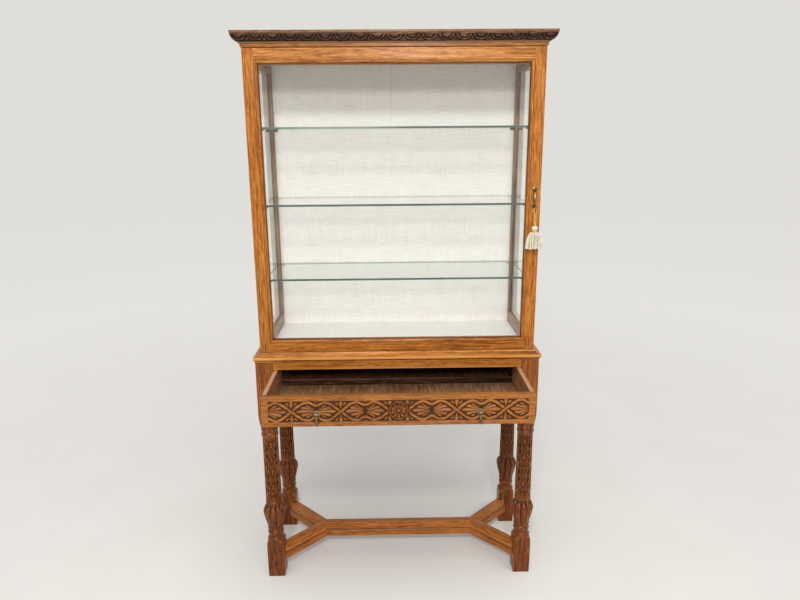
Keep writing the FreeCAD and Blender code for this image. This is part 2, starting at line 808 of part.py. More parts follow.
def make_case_inside():
    """Floor, cross rails, lined back, shelves and pegs."""
    save("case_floor", box(-case_inner, case_inner, case_front, panel_front, case_bottom, case_floor))
    save("floor_lining", box(-case_inner, case_inner, case_front, lining_front, case_floor,
                             case_floor + lining_thickness))
    half = case_inner + back_panel_groove
    save("back_panel", box(-half, half, panel_front, panel_back, case_bottom, case_top))
    save("back_lining", box(-case_inner, case_inner, lining_front, panel_front, case_floor, case_top))
    rails = [one(box(*rail), *[box(*t) for t in cross_rail_tenons(rail)]) for rail in cross_rails()]
    save("case_cross_rails", *rails)
    wide = side_glass_inner - shelf_gap
    narrow = case_inner - shelf_gap
    front = case_front + shelf_front_setback
    back = lining_front - shelf_gap / 2
    y0 = front_post_back + shelf_gap
    y1 = rear_post_front - shelf_gap
    plan = [(-narrow, front), (narrow, front), (narrow, y0), (wide, y0), (wide, y1), (narrow, y1),
            (narrow, back), (-narrow, back), (-narrow, y1), (-wide, y1), (-wide, y0), (-narrow, y0)]
    for name, level in shelf_levels.items():
        save(name, prism("XY", level, level + shelf_thickness, plan))
    pegs = []
    for s, y, level in shelf_pegs():
        z = peg_axis(level)
        peg = rod(Vector(-s, 0, 0), s * (case_inner + peg_depth), y, z, peg_radius, peg_depth + peg_reach)
        top = box(s * case_inner, s * (case_inner - peg_reach), y - peg_radius, y + peg_radius,
                  level, level + peg_radius)
        pegs.append(less(peg, top))
    save("shelf_pegs", *pegs)


def sticking_profile(flat):
    """Door frame section as (inward from the edge, back from the face)."""
    inner = flat + sticking
    bulge = (flat + sticking * 0.72, sticking_quirk + (sticking_depth - sticking_quirk) * 0.27)
    land = flat + door_rebate_land
    return [
        (0, 0), (flat, 0), (flat, sticking_quirk), (bulge, (inner, sticking_depth)),
        (inner, door_rebate_depth), (land, door_rebate_depth), (land, door_thickness), (0, door_thickness),
    ]


def lock_planes():
    """Planes of the lock case in the right stile."""
    return (key_x - lock_half_width, key_x + lock_half_width, door_back - lock_depth, door_back,
            key_height - lock_below_key, key_height + lock_above_key)


def make_door_frame():
    """Stiles and rails with mitred sticking, joined by tenons, and the glass with its beads."""
    low_sight = door_bottom + base_rail_flat
    high_sight = door_top - top_rail_flat
    rail_half = case_half - stile_flat
    tenon_y = door_front + door_tenon_setback
    rails = {
        "door_bottom_rail": (door_bottom, low_sight, 1, base_rail_flat),
        "door_top_rail": (door_top, high_sight, -1, top_rail_flat),
    }
    tenons = {}
    for name, (edge, sight, way, flat) in rails.items():
        z0 = min(edge, sight) + tenon_shoulder
        z1 = max(edge, sight) - tenon_shoulder
        tenons[name] = [(s * rail_half, s * (rail_half + door_tenon_length), tenon_y,
                         tenon_y + door_tenon_thickness, z0, z1) for s in (-1, 1)]
        section = moved(sticking_profile(flat), lambda u, d: (door_front + d, edge + way * u))
        inner = sight + way * sticking
        view = [(-rail_half, edge), (rail_half, edge), (rail_half, sight), (rail_half - sticking, inner),
                (sticking - rail_half, inner), (-rail_half, sight)]
        rail = both(prism("YZ", -rail_half, rail_half, section), prism("XZ", door_front, door_back, view))
        save(name, one(rail, *[box(*t) for t in tenons[name]]))
    cuts = [grown(t, mortise_clearance) for ends in tenons.values() for t in ends]
    cuts += hinge_reliefs()
    cuts += [leaf_seat(door_leaf_planes(z)) for z in hinge_levels()]
    cuts.append(box(*lock_planes()))
    cuts.append(rod(Vector(0, 1, 0), key_x, door_front, key_height, key_hole_radius, lock_depth))
    for side, s in (("left", -1), ("right", 1)):
        section = moved(sticking_profile(stile_flat), lambda u, d, s=s: (s * (case_half - u), door_front + d))
        view = [(s * case_half, door_bottom), (s * rail_half, door_bottom), (s * rail_half, low_sight),
                (s * (rail_half - sticking), low_sight + sticking),
                (s * (rail_half - sticking), high_sight - sticking), (s * rail_half, high_sight),
                (s * rail_half, door_top), (s * case_half, door_top)]
        stile = both(prism("XY", door_bottom, door_top, section), prism("XZ", door_front, door_back, view))
        save("door_" + side + "_stile", less(stile, *cuts))
    seat_x = rail_half - door_rebate_land
    seat_low = low_sight + door_rebate_land
    seat_high = high_sight - door_rebate_land
    y0 = door_front + door_rebate_depth
    y1 = y0 + glass_thickness
    gap = rebate_clearance
    save("door_glass", box(gap - seat_x, seat_x - gap, y0, y1, seat_low + gap, seat_high - gap))
    width = sticking - door_rebate_land
    beads = [box(-seat_x, seat_x, y1, door_back, seat_low, seat_low + width),
             box(-seat_x, seat_x, y1, door_back, seat_high - width, seat_high)]
    low, high = seat_low + width, seat_high - width
    for s in (-1, 1):
        beads.append(box(s * seat_x, s * (seat_x - width), y1, door_back, low, high))
    save("door_glazing_beads", *beads)


def make_lock():
    """Box lock in the stile, its bolt, the staple on the post and the escutcheon."""
    x0, x1, y0, y1, z0, z1 = lock_planes()
    low, high = staple_levels()
    eye_half = bolt_pin_width / 2 + staple_gap / 2 + staple_wall
    window = (key_x - eye_half - staple_gap, key_x + eye_half + staple_gap, y1 - lock_wall, y1,
              low - staple_gap, high + staple_gap)
    cavity = grown((x0, x1, y0, y1, z0, z1), -lock_wall)
    keyway = rod(Vector(0, 1, 0), key_x, y0, key_height, key_hole_radius, lock_wall)
    save("lock_case", less(box(x0, x1, y0, y1, z0, z1), cavity, keyway, box(*window)))
    plate_low = key_height + bolt_rise
    plate_high = plate_low + bolt_plate_height
    bolt_half = lock_half_width - lock_wall - bolt_clearance
    bolt_y = door_front + bolt_depth
    plate = box(key_x - bolt_half, key_x + bolt_half, bolt_y, bolt_y + bolt_thickness, plate_low, plate_high)
    pin = box(key_x - bolt_pin_width / 2, key_x + bolt_pin_width / 2, bolt_y, bolt_y + bolt_thickness,
              plate_high, plate_high + bolt_pin_height)
    save("lock_bolt", one(plate, pin))
    slack = staple_gap / 2
    eye = box(key_x - eye_half, key_x + eye_half, bolt_y - slack - staple_wall, case_front, low, high)
    hole = box(key_x - eye_half + staple_wall, key_x + eye_half - staple_wall, bolt_y - slack,
               bolt_y + bolt_thickness + slack, low, high)
    save("lock_staple", less(one(box(*staple_plate()), eye), hole))
    rose = rod(Vector(0, -1, 0), key_x, door_front, key_height, escutcheon_radius, escutcheon_thickness)
    bore = rod(Vector(0, -1, 0), key_x, door_front, key_height, key_shaft_radius + running_clearance,
               escutcheon_thickness)
    save("key_escutcheon", less(rose, bore))


def make_key():
    """Key in the lock, with its ring bow upright and its bit towards the hinge side."""
    bow_y = door_front - key_bow_reach
    centre = Vector(key_x, bow_y, key_height)
    bow = Part.makeTorus(key_bow_radius, key_bow_bar_radius, centre, Vector(1, 0, 0))
    start = bow_y + key_bow_radius
    length = door_front + key_end_depth - start
    shaft = rod(Vector(0, 1, 0), key_x, start, key_height, key_shaft_radius, length)
    collar = rod(Vector(0, 1, 0), key_x, start + 2 * key_bow_bar_radius, key_height, key_collar_radius,
                 2 * key_bow_bar_radius)
    bit_y = door_front + key_bit_depth
    low = key_height - key_bit_thickness / 2
    bit = box(key_x - key_bit_reach, key_x, bit_y, bit_y + key_bit_width, low, low + key_bit_thickness)
    save("door_key", one(shaft, bow, collar, bit))


def bow_bar():
    """Middle of the bow's lowest bar, where the cord hangs."""
    return Vector(key_x, door_front - key_bow_reach, key_height - key_bow_radius)


def cord_path():
    """Straight runs joined by tangent arcs as large as the runs allow."""
    bar = bow_bar()
    points = [bar + Vector(x, 0, z) for x, z in cord_route]
    edges = []
    radii = []
    here = points[0]
    for before, corner, after in zip(points, points[1:], points[2:]):
        inward = (before - corner).normalize()
        onward = (after - corner).normalize()
        turn = math.pi - inward.getAngle(onward)
        back = 0.45 * min((corner - before).Length, (after - corner).Length)
        radius = back / math.tan(turn / 2)
        first = corner + inward * back
        last = corner + onward * back
        middle = (inward + onward).normalize()
        nearest = corner + middle * (radius / math.cos(turn / 2) - radius)
        edges.append(Part.LineSegment(here, first).toShape())
        edges.append(Part.Arc(first, nearest, last).toShape())
        radii.append(round(radius, 2))
        here = last
    edges.append(Part.LineSegment(here, points[-1]).toShape())
    print("cord radii", radii)
    return Part.Wire(edges)


def make_cord_and_tassel():
    """Doubled cord over the bow and the tassel that it carries."""
    path = cord_path()
    start = path.Vertexes[0].Point
    ring = Part.Wire(Part.Circle(start, path.Edges[0].tangentAt(0), cord_radius).toShape())
    cord = path.makePipeShell([ring], True, False)
    bar = bow_bar()
    top = bar.z + cord_route[0][1]
    level = box(bar.x - tassel_head_radius, bar.x + tassel_head_radius, bar.y - tassel_head_radius,
                bar.y + tassel_head_radius, top - tassel_head_radius, top)
    cord = less(cord, level)
    print("cord length", round(path.Length, 1), "volume share",
          round(cord.Volume / (math.pi * cord_radius ** 2 * path.Length), 4))
    save("key_cord", cord)
    head_low = top - tassel_head_height
    band_low = head_low - tassel_band_height
    skirt_low = band_low - tassel_skirt_height
    swell = (tassel_head_radius, head_low + tassel_head_height / 2)
    rim = (tassel_band_radius, top)
    head = turned([(0, head_low), (tassel_band_radius, head_low), (swell, rim), (0, top)])
    head.translate(Vector(bar.x, bar.y, 0))
    band = rod(UP, bar.x, bar.y, band_low, tassel_band_radius, tassel_band_height)
    rings = []
    for share, swell in ((0.0, 0.0), (0.3, 0.52), (0.65, 0.84), (1.0, 1.0)):
        wide = tassel_band_radius + (tassel_skirt_half_width - tassel_band_radius) * swell
        deep = tassel_band_radius + (tassel_skirt_half_depth - tassel_band_radius) * swell
        centre = Vector(bar.x, bar.y, band_low + (skirt_low - band_low) * share)
        oval = Part.Circle(centre, UP, wide).toShape()
        if wide > deep:
            oval = Part.Ellipse(centre + Vector(wide, 0, 0), centre + Vector(0, deep, 0), centre).toShape()
        rings.append(Part.Wire(oval))
    skirt = Part.makeLoft(rings, True)
    save("tassel", one(head, band, skirt))


def pull_plate(x, face, z, radius):
    """Round backplate with a stem that ends in an eye."""
    rim = pull_plate_thickness * 0.5
    plate = turned([(0, 0), (radius, 0), (radius, rim), ((radius * 0.6, pull_plate_thickness * 0.9),
                                                         (0, pull_plate_thickness))])
    plate.rotate(Vector(0, 0, 0), Vector(1, 0, 0), 90)
    plate.translate(Vector(x, face, z))
    stem = rod(Vector(0, -1, 0), x, face, z, pull_stem_radius, pull_reach - pull_pin_radius * 2)
    half = pull_eye_thickness / 2
    eye = rod(Vector(1, 0, 0), x - half, face - pull_reach, z, pull_eye_radius, pull_eye_thickness)
    bore = pull_pin_radius + running_clearance
    hole = rod(Vector(1, 0, 0), x - half, face - pull_reach, z, bore, pull_eye_thickness)
    neck = box(x - half, x + half, face - pull_reach, face, z - half, z + half)
    return less(one(plate, stem, eye, neck), hole)


def pear_drop(x, face, z, length):
    """Pear-shaped drop with a fork and a pin through the plate's eye."""
    top = -pull_collar_drop
    collar = top - pull_collar_height
    fork = pull_eye_thickness / 2 + pull_cheek_gap
    outer = fork + pull_cheek_thickness
    neck = outer * 0.5
    widest = -length * 0.62
    ball = finial_radius - length
    base = ball + math.sqrt(finial_radius ** 2 - finial_neck_radius ** 2)
    body = turned([
        (0, top), (pull_collar_radius, top), (pull_collar_radius, collar), (neck, collar - pull_neck_height),
        ((pear_radius * 0.74, (top + widest) / 2 - pear_swell), (pear_radius, widest)),
        ((pear_radius * 0.76, (widest * 0.4 + base * 0.6)), (finial_neck_radius, base)),
        ((finial_radius, ball), (0, -length)),
    ])
    arms = []
    for s in (-1, 1):
        arms.append(box(s * fork, s * outer, -pull_cheek_radius, pull_cheek_radius, collar, 0))
        start = fork if s > 0 else -outer
        arms.append(rod(Vector(1, 0, 0), start, 0, 0, pull_cheek_radius, pull_cheek_thickness))
    pin = rod(Vector(1, 0, 0), -outer, 0, 0, pull_pin_radius, 2 * outer)
    drop = one(body, pin, *arms)
    drop.translate(Vector(x, face - pull_reach, z))
    return drop


def make_pulls():
    """Pear-drop pulls on the door and the drawer."""
    save("door_pull_plate", pull_plate(key_x, door_front, door_pull_height, door_pull_plate_radius))
    save("door_pull_drop", pear_drop(key_x, door_front, door_pull_height, door_drop_length))
    plates = []
    for side, s in (("left", -1), ("right", 1)):
        x = s * drawer_pull_spread / 2
        plates.append(pull_plate(x, drawer_face, drawer_pull_z, drawer_pull_plate_radius))
        save(side + "_drawer_drop", pear_drop(x, drawer_face, drawer_pull_z, drawer_drop_length))
    save("drawer_pull_plates", *plates)


def make_drawer():
    """Drawer, shown pulled out: carved front, lapped sides, low back and grooved bottom."""
    back_of_front = drawer_face + drawer_front_thickness
    end = drawer_face + drawer_length
    lap_front = back_of_front - drawer_lap
    side_top = drawer_top_z - drawer_side_drop
    inner = drawer_half - drawer_side_thickness
    floor_low = drawer_bottom_z + drawer_bottom_rise
    floor = (-inner - drawer_groove, inner + drawer_groove, back_of_front - drawer_groove, end,
             floor_low, floor_low + drawer_bottom_thickness)
    side_blocks = [box(s * inner, s * drawer_half, lap_front, end, drawer_bottom_z, side_top)
                   for s in (-1, 1)]
    front = box(-drawer_half, drawer_half, drawer_face, back_of_front, drawer_bottom_z, drawer_top_z)
    save("drawer_front", less(front, box(*floor), *side_blocks))
    save("drawer_sides", *[less(side, box(*floor)) for side in side_blocks])
    save("drawer_bottom", box(*floor))
    save("drawer_back", box(-inner, inner, end - drawer_side_thickness, end,
                            floor_low + drawer_bottom_thickness, drawer_bottom_z + drawer_back_height))


frieze = frieze_tenons()
make_legs(frieze)
make_frieze(frieze)
make_runners()
make_stretcher()
make_waist()
make_cornice()
make_posts()
make_sides()
make_case_inside()
make_hinges()
make_door_frame()
make_lock()
make_key()
make_cord_and_tassel()
make_pulls()
make_drawer()
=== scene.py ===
"""Display cabinet on its stand: carved and waxed oak, linen, glass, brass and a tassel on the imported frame."""
import json
import math

import bmesh
import bpy
import numpy as np
from mathutils import Matrix, Vector


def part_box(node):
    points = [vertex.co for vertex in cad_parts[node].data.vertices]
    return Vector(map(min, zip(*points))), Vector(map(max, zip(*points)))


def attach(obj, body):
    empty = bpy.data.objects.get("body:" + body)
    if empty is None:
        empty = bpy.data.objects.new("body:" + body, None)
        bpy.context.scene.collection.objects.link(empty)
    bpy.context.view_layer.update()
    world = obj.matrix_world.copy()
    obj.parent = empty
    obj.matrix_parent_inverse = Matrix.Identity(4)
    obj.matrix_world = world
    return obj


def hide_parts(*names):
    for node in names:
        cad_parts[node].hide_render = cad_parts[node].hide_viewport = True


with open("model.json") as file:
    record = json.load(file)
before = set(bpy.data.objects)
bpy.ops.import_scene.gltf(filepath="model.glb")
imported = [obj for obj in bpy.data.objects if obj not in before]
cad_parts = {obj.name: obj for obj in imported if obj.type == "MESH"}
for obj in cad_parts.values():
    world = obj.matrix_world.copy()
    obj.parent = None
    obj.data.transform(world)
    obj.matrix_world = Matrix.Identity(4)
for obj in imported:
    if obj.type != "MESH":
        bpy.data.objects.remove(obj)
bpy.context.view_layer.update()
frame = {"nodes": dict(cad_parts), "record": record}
NODES = frame["nodes"]
BODY_OF = {node: body for body, nodes in frame["record"]["behaviour"]["bodies"].items() for node in nodes}
SLOT_OF = {part["node"]: part["material_slot"] for part in frame["record"]["subparts"]}

# Lengths are in millimetres, as in the part, and become metres when a mesh is made; shaders and lamps use metres
MM = 0.001
CASE_HALF = 429.7
DOOR_FRONT = -49.15
STAND_BACK = 288.85
STAND_MID = 111.35
KEY_X = 411.2
BOW_Y = -71.65
BAR_Z = 1243.5
SEAM_X = -10.0

# Camera, fitted to the straight edges in the photograph
EYE = (-20.2, -1958.1, 1454.9)
LENS, SENSOR = 28.75, 36.0
PITCH, YAW, ROLL = math.radians(14.35), math.radians(0.89), math.radians(-0.43)


def put(name, data):
    """New object in the scene."""
    thing = bpy.data.objects.new(name, data)
    bpy.context.collection.objects.link(thing)
    return thing


def add_camera():
    """Camera at the photograph's place and tilt."""
    data = bpy.data.cameras.new("photo_camera")
    data.sensor_width = SENSOR
    data.lens = LENS
    camera = put("photo_camera", data)
    ahead = Vector((math.sin(YAW) * math.cos(PITCH), math.cos(YAW) * math.cos(PITCH), -math.sin(PITCH)))
    level = Vector((math.cos(YAW), -math.sin(YAW), 0.0))
    above = level.cross(ahead)
    right = level * math.cos(ROLL) + above * math.sin(ROLL)
    top = above * math.cos(ROLL) - level * math.sin(ROLL)
    turn = Matrix((right, top, -ahead)).transposed().to_4x4()
    camera.matrix_world = Matrix.Translation(Vector(EYE) * MM) @ turn
    bpy.context.scene.camera = camera


class Tap:
    """A socket of a material that can be used in Python sums."""

    def __init__(self, tree, socket=None):
        self.tree = tree
        self.socket = socket

    def add(self, kind, settings=None, sockets=None, out=0):
        """Add any node: its settings are set first, then the values or links of its sockets."""
        node = self.tree.nodes.new("ShaderNode" + kind)
        for name, value in (settings or {}).items():
            if name == "stops":
                for element, (place, colour) in zip(node.color_ramp.elements, (value[0], value[-1])):
                    element.position = place
                    element.color = colour
                for place, colour in value[1:-1]:
                    node.color_ramp.elements.new(place).color = colour
            else:
                setattr(node, name, value)
        for key, value in (sockets or {}).items():
            if isinstance(value, Tap):
                self.tree.links.new(value.socket, node.inputs[key])
            else:
                node.inputs[key].default_value = value
        return Tap(self.tree, node.outputs[out] if len(node.outputs) else None)

    def side(self, out):
        """Another output of the same node."""
        return Tap(self.tree, self.socket.node.outputs[out])

    def work(self, operation, *values):
        """Math node on numbers and values."""
        return self.add("Math", {"operation": operation}, dict(enumerate(values)))

    def step(self, low, high):
        """Even step from 0 to 1 as this value goes from low to high."""
        return self.add("MapRange", {"interpolation_type": "SMOOTHSTEP"}, {0: self, 1: low, 2: high})

    def tint(self, low, high):
        """Colour that goes from low to high as this value goes from 0 to 1."""
        return self.add("Mix", {"data_type": "RGBA"}, {0: self, 6: low, 7: high}, 2)

    def ramp(self, places, colours):
        """Colour between stops, by the place of this value among theirs."""
        return self.add("ValToRGB", {"stops": tuple(zip(places, colours))}, {0: self})

    def here(self):
        """Place on the object."""
        return self.add("TexCoord", {}, {}, "Object")

    def axes(self):
        """The three parts of this vector."""
        parts = self.add("SeparateXYZ", {}, {0: self})
        return parts, parts.side("Y"), parts.side("Z")

    def noise(self, scale, detail=2.0, rough=0.5):
        """Noise at this place."""
        return self.add("TexNoise", {}, {"Vector": self, "Scale": scale, "Detail": detail, "Roughness": rough})

    def bump(self, strength, distance):
        """Normal of a surface that this value raises."""
        return self.add("Bump", {}, {"Strength": strength, "Distance": distance, "Height": self})

    def mark(self, name):
        """Number that the mesh keeps under a name."""
        return self.add("Attribute", {"attribute_name": name}, {}, "Fac")

    def __add__(self, other):
        return self.work("ADD", self, other)

    def __sub__(self, other):
        return self.work("SUBTRACT", self, other)

    def __rsub__(self, other):
        return self.work("SUBTRACT", other, self)

    def __mul__(self, other):
        return self.work("MULTIPLY", self, other)

    def __truediv__(self, other):
        return self.work("DIVIDE", self, other)

    def __rtruediv__(self, other):
        return self.work("DIVIDE", other, self)

    __radd__ = __add__
    __rmul__ = __mul__


def finish(build):
    """Turn a function that returns a shader into one that returns a material of a given name."""

    def make(name, *settings):
        material = bpy.data.materials.new(name)
        material.use_nodes = True
        material.node_tree.nodes.clear()
        blank = Tap(material.node_tree)
        blank.add("OutputMaterial", {}, {"Surface": build(blank, *settings)})
        return material

    return make


def shade(colour, by):
    """A colour made lighter or darker, with its alpha."""
    return tuple(c * by for c in colour[:3]) + (1.0,)


def grain_places(blank, along):
    """Distance along the grain and two distances across it."""
    x, y, z = blank.here().axes()
    straight = {"x": (x, y, z), "y": (y, x, z), "z": (z, x, y)}
    if along in straight:
        return straight[along]
    reach = x.work("ABSOLUTE", x)
    depth = x.work("ABSOLUTE", y - STAND_MID * MM)
    return (reach + depth) * math.sqrt(0.5), (reach - depth) * math.sqrt(0.5), z


# Where the tones of oak lie on its ramp, the heights where a leg's tones give way to its block's, and raw oak inside
# the case, greyed and lightened as painted light bounced off the linen
TONE_PLACES = (0.16, 0.50, 0.86)
BLOCK_START = (0.545, 0.60)
BARE_WITH_BOUNCE_LIGHT = ((0.18, 0.105, 0.066, 1), (0.40, 0.262, 0.17, 1))


@finish
def oak(blank, along, tones, seed, rough, coat, carved=False, upper=None):
    """Oak with broken fibres, flecks, rings, pores and worn edges, with the painted shade, painted highlights and
    painted bounce light its mesh marks; carved oak has dirt with painted shade in its ground and rubbed high spots
    with painted highlights.
    """
    dark, light = tones[0], tones[-1]
    length, wide, deep = grain_places(blank, along)

    def grain(stretch, across, detail, sway=0.0):
        place = {0: length * stretch + seed, 1: (wide + sway) * across, 2: (deep + sway) * across}
        return blank.add("CombineXYZ", {}, place).noise(1.0, detail, 0.55)

    waver = (grain(7.0, 9.0, 2.0) - 0.5) * 0.022
    drift = grain(2.4, 11.0, 3.0)
    off_wide = wide - (0.035 + 0.02 * math.sin(seed))
    off_deep = deep + 0.06
    reach = blank.work("SQRT", off_wide * off_wide + off_deep * off_deep)
    ring = blank.work("PINGPONG", reach * 95.0 + drift * 8.0, 0.5) * 2.0
    fibre = grain(8.0, 170.0, 3.0, waver).step(0.30, 0.70)
    fleck = grain(34.0, 330.0, 2.0, waver).step(0.34, 0.66)
    patch = grain(2.2, 7.0, 3.0).step(0.32, 0.68)
    pore = grain(55.0, 1000.0, 2.0, waver).step(0.57, 0.70)
    tone = fibre * 0.36 + fleck * 0.26 + ring * 0.18 + patch * 0.20
    colour = tone.ramp(TONE_PLACES, tones)
    if upper:
        colour = length.step(*BLOCK_START).tint(colour, tone.ramp(TONE_PLACES, upper))
    colour = (pore * 0.5).tint(colour, shade(dark, 0.5))
    # Raw oak on the faces inside the case, greyed and lightened as painted light bounced off the linen
    colour = blank.mark("bare").tint(colour, fibre.tint(*BARE_WITH_BOUNCE_LIGHT))
    # Worn edges, with painted highlights on mouldings and tops, lighten the oak
    worn_and_lit = blank.mark("wear") * (patch * 0.5 + 0.2)
    colour = worn_and_lit.tint(colour, shade(light, 1.1))
    # Painted shade darkens the faces that the mesh marks: under mouldings, in quirks, beside the glass and on shadowed
    # parts
    grime = blank.mark("grime")
    colour = (grime * 0.85).tint(colour, shade(dark, 0.22))
    dirt_and_shade = grime * 0.5
    # Carved oak: rubbed high spots with painted highlights, and dirt with painted shade in its ground
    if carved:
        dirt_and_shade = 1.0 - blank.mark("relief").step(0.14, 0.92)
        rubbed = blank.mark("rubbed") * (fleck * 0.5 + 0.35)
        colour = rubbed.tint(colour, light)
        colour = (dirt_and_shade * 0.9).tint(colour, shade(dark, 0.26))
    gloss = fleck * 0.08 + (rough - 0.04) + pore * 0.15 + dirt_and_shade * 0.22
    sockets = {"Base Color": colour, "Roughness": gloss, "Specular IOR Level": 0.14,
               "Normal": (fibre * 0.3 - pore * 0.8).bump(0.35, 0.0004)}
    if coat:
        sockets["Coat Weight"] = coat
        sockets["Coat Roughness"] = 0.24
    return blank.add("BsdfPrincipled", {}, sockets)


LINEN = ((0.82, 0.77, 0.732, 1), (0.92, 0.885, 0.862, 1), (0.955, 0.935, 0.925, 1))
SEAM = (0.42, 0.38, 0.34, 1)


@finish
def linen(blank):
    """Slubbed plain-weave linen."""
    x, y, z = blank.here().axes()
    up = y + z

    def slub(a, b, detail):
        return blank.add("CombineXYZ", {}, {0: x * a, 1: up * b, 2: 0.0}).noise(1.0, detail, 0.6)

    weft = slub(16.0, 260.0, 3.0)
    warp = slub(300.0, 9.0, 3.0)
    patch = slub(5.0, 7.0, 2.0)
    over = blank.work("PINGPONG", x * 620.0, 0.5) * 2.0
    under = blank.work("PINGPONG", up * 560.0, 0.5) * 2.0
    thread = weft.step(0.30, 0.72)
    tone = thread * 0.5 + warp.step(0.35, 0.7) * 0.35 + patch * 0.15
    off_seam = blank.work("ABSOLUTE", x - SEAM_X * MM)
    seam = (1.0 - off_seam.step(0.0006, 0.0026)) * z.step(1.42, 1.62) * 0.3
    colour = seam.tint(tone.ramp((0.1, 0.5, 0.9), LINEN), SEAM)
    bump = (thread * 0.8 + warp * 0.4 + over * under * 0.35).bump(0.5, 0.0005)
    return blank.add("BsdfPrincipled", {}, {"Base Color": colour, "Roughness": 0.9, "Normal": bump,
                                            "Specular IOR Level": 0.15, "Sheen Weight": 0.1})


def clear_glass(blank, seen, mirrored, **more):
    """Thin glass that mirrors by its slant, on the face that is met first."""
    slant = blank.add("Fresnel", {}, {"IOR": 1.45})
    two_faces = slant * 2.0 / (slant + 1.0)
    share = two_faces * (1.0 - blank.add("NewGeometry", {}, {}, "Backfacing"))
    through = blank.add("BsdfTransparent", {}, {"Color": seen})
    mirror = blank.add("BsdfPrincipled", {}, {"Base Color": mirrored, "Roughness": 0.03, "Metallic": 1.0, **more})
    return blank.add("MixShader", {}, {0: share, 1: through, 2: mirror})


@finish
def window_glass(blank):
    """Thin clear glass, a little uneven."""
    bump = blank.here().noise(5.0, 1.0).bump(0.02, 0.002)
    return clear_glass(blank, (0.985, 0.993, 0.989, 1), (0.93, 0.96, 0.95, 1), Normal=bump)


@finish
def shelf_glass(blank):
    """Clear shelf whose ground edges look green, with painted reflection that pales them in patches and on higher
    shelves.
    """
    tilt = blank.add("NewGeometry", {}, {}, "Normal").axes()[2]
    edge = 1.0 - blank.work("ABSOLUTE", tilt).step(0.35, 0.75)
    faces = clear_glass(blank, (0.975, 0.99, 0.982, 1), (0.92, 0.96, 0.94, 1))
    here = blank.here()
    # Painted reflection: the ground edges pale in patches and more on the higher shelves
    high = here.axes()[2].step(1.3, 1.45)
    painted_reflection = (here.noise(5.0).step(0.35, 0.65) * 0.5 + 0.1) * (high * 1.2 + 0.3)
    green = painted_reflection.tint((0.022, 0.068, 0.046, 1), (0.23, 0.31, 0.25, 1))
    ground = blank.add("BsdfPrincipled", {}, {"Base Color": green, "Roughness": 0.22})
    return blank.add("MixShader", {}, {0: edge, 1: faces, 2: ground})


@finish
def brass(blank):
    """Aged brass, darker where it isn't handled."""
    here = blank.here()
    spot = here.noise(160.0, 4.0, 0.6)
    # Dark tones from tarnish, and painted reflection of a dark room
    tarnish = here.noise(45.0).step(0.38, 0.64) * 0.6 + spot.step(0.48, 0.70) * 0.4
    colour = tarnish.tint((0.28, 0.215, 0.112, 1), (0.048, 0.035, 0.018, 1))
    return blank.add("BsdfPrincipled", {}, {"Base Color": colour, "Metallic": 1.0,
                                            "Roughness": tarnish * 0.20 + 0.27,
                                            "Normal": spot.bump(0.15, 0.0003)})


@finish
def silk(blank, dark, light, pitch, dyed=None):
    """Silk thread; where threads are dyed, the dye mark says how much."""
    here = blank.here()
    fine = here.noise(pitch, 3.0, 0.6)
    tone = fine * 0.55 + here.noise(pitch / 9.0) * 0.45
    colour = tone.step(0.36, 0.64).tint(dark, light)
    if dyed:
        colour = blank.mark("dye").tint(colour, dyed)
    return blank.add("BsdfPrincipled", {}, {"Base Color": colour, "Roughness": 0.62,
                                            "Normal": fine.bump(0.4, 0.0003), "Specular IOR Level": 0.3,
                                            "Sheen Weight": 0.35, "Sheen Roughness": 0.4})


# Oak by its darkest, middle and lightest tone
HONEY = ((0.17, 0.052, 0.008, 1), (0.41, 0.150, 0.028, 1), (0.63, 0.275, 0.072, 1))
DARK = ((0.056, 0.013, 0.001, 1), (0.168, 0.040, 0.003, 1), (0.32, 0.096, 0.012, 1))
DRAWER = ((0.105, 0.029, 0.005, 1), (0.265, 0.087, 0.014, 1), (0.42, 0.160, 0.034, 1))
CARVED = ((0.022, 0.008, 0.004, 1), (0.056, 0.022, 0.010, 1), (0.26, 0.125, 0.064, 1))
PLAIN = ((0.105, 0.048, 0.021, 1), (0.215, 0.104, 0.048, 1), (0.345, 0.19, 0.098, 1))
BLOCK = ((0.09, 0.020, 0.002, 1), (0.228, 0.058, 0.005, 1), (0.36, 0.108, 0.014, 1))
DEEP = ((0.145, 0.039, 0.004, 1), (0.35, 0.113, 0.014, 1), (0.535, 0.206, 0.036, 1))
STRETCHER = ((0.13, 0.035, 0.003, 1), (0.33, 0.098, 0.011, 1), (0.50, 0.175, 0.030, 1))
# Tones, roughness and wax of each oak, and the pieces whose oak isn't named after their slot
WOODS = {"honey_oak": (HONEY, 0.40, 0.15), "dark_oak": (DARK, 0.32, 0.25), "carved_oak": (CARVED, 0.42, 0.15),
         "plain_oak": (PLAIN, 0.62, 0.0), "drawer_oak": (DRAWER, 0.40, 0.15), "deep_oak": (DEEP, 0.40, 0.15),
         # Painted light: plain oak made half again lighter, for the drawer's sides
         "stretcher_oak": (STRETCHER, 0.32, 0.25), "pale_oak": ([shade(tone, 1.5) for tone in PLAIN], 0.62, 0.0)}
# The drawer's back takes the dark carved oak as painted shade; its sides the lightened oak as painted light
OAK_OF = {"centre_stretcher": "stretcher_oak", "stretcher_arms": "stretcher_oak", "drawer_back": "carved_oak",
          "drawer_sides": "pale_oak", "frieze_top_rail": "deep_oak", "door_bottom_rail": "deep_oak",
          "door_left_stile": "deep_oak", "door_right_stile": "deep_oak"}
made = {}


def wood(slot, along, carved=False, seed=0.0, upper=None):
    """Oak of one finish and grain direction, made once."""
    key = (slot, along, carved, seed, upper)
    if key not in made:
        tones, rough, coat = WOODS[slot]
        name = "%s_%s%s_%d" % (slot, along, "_carved" if carved else "", seed)
        made[key] = oak(name, along, tones, seed, rough, coat, carved, upper)
    return made[key]


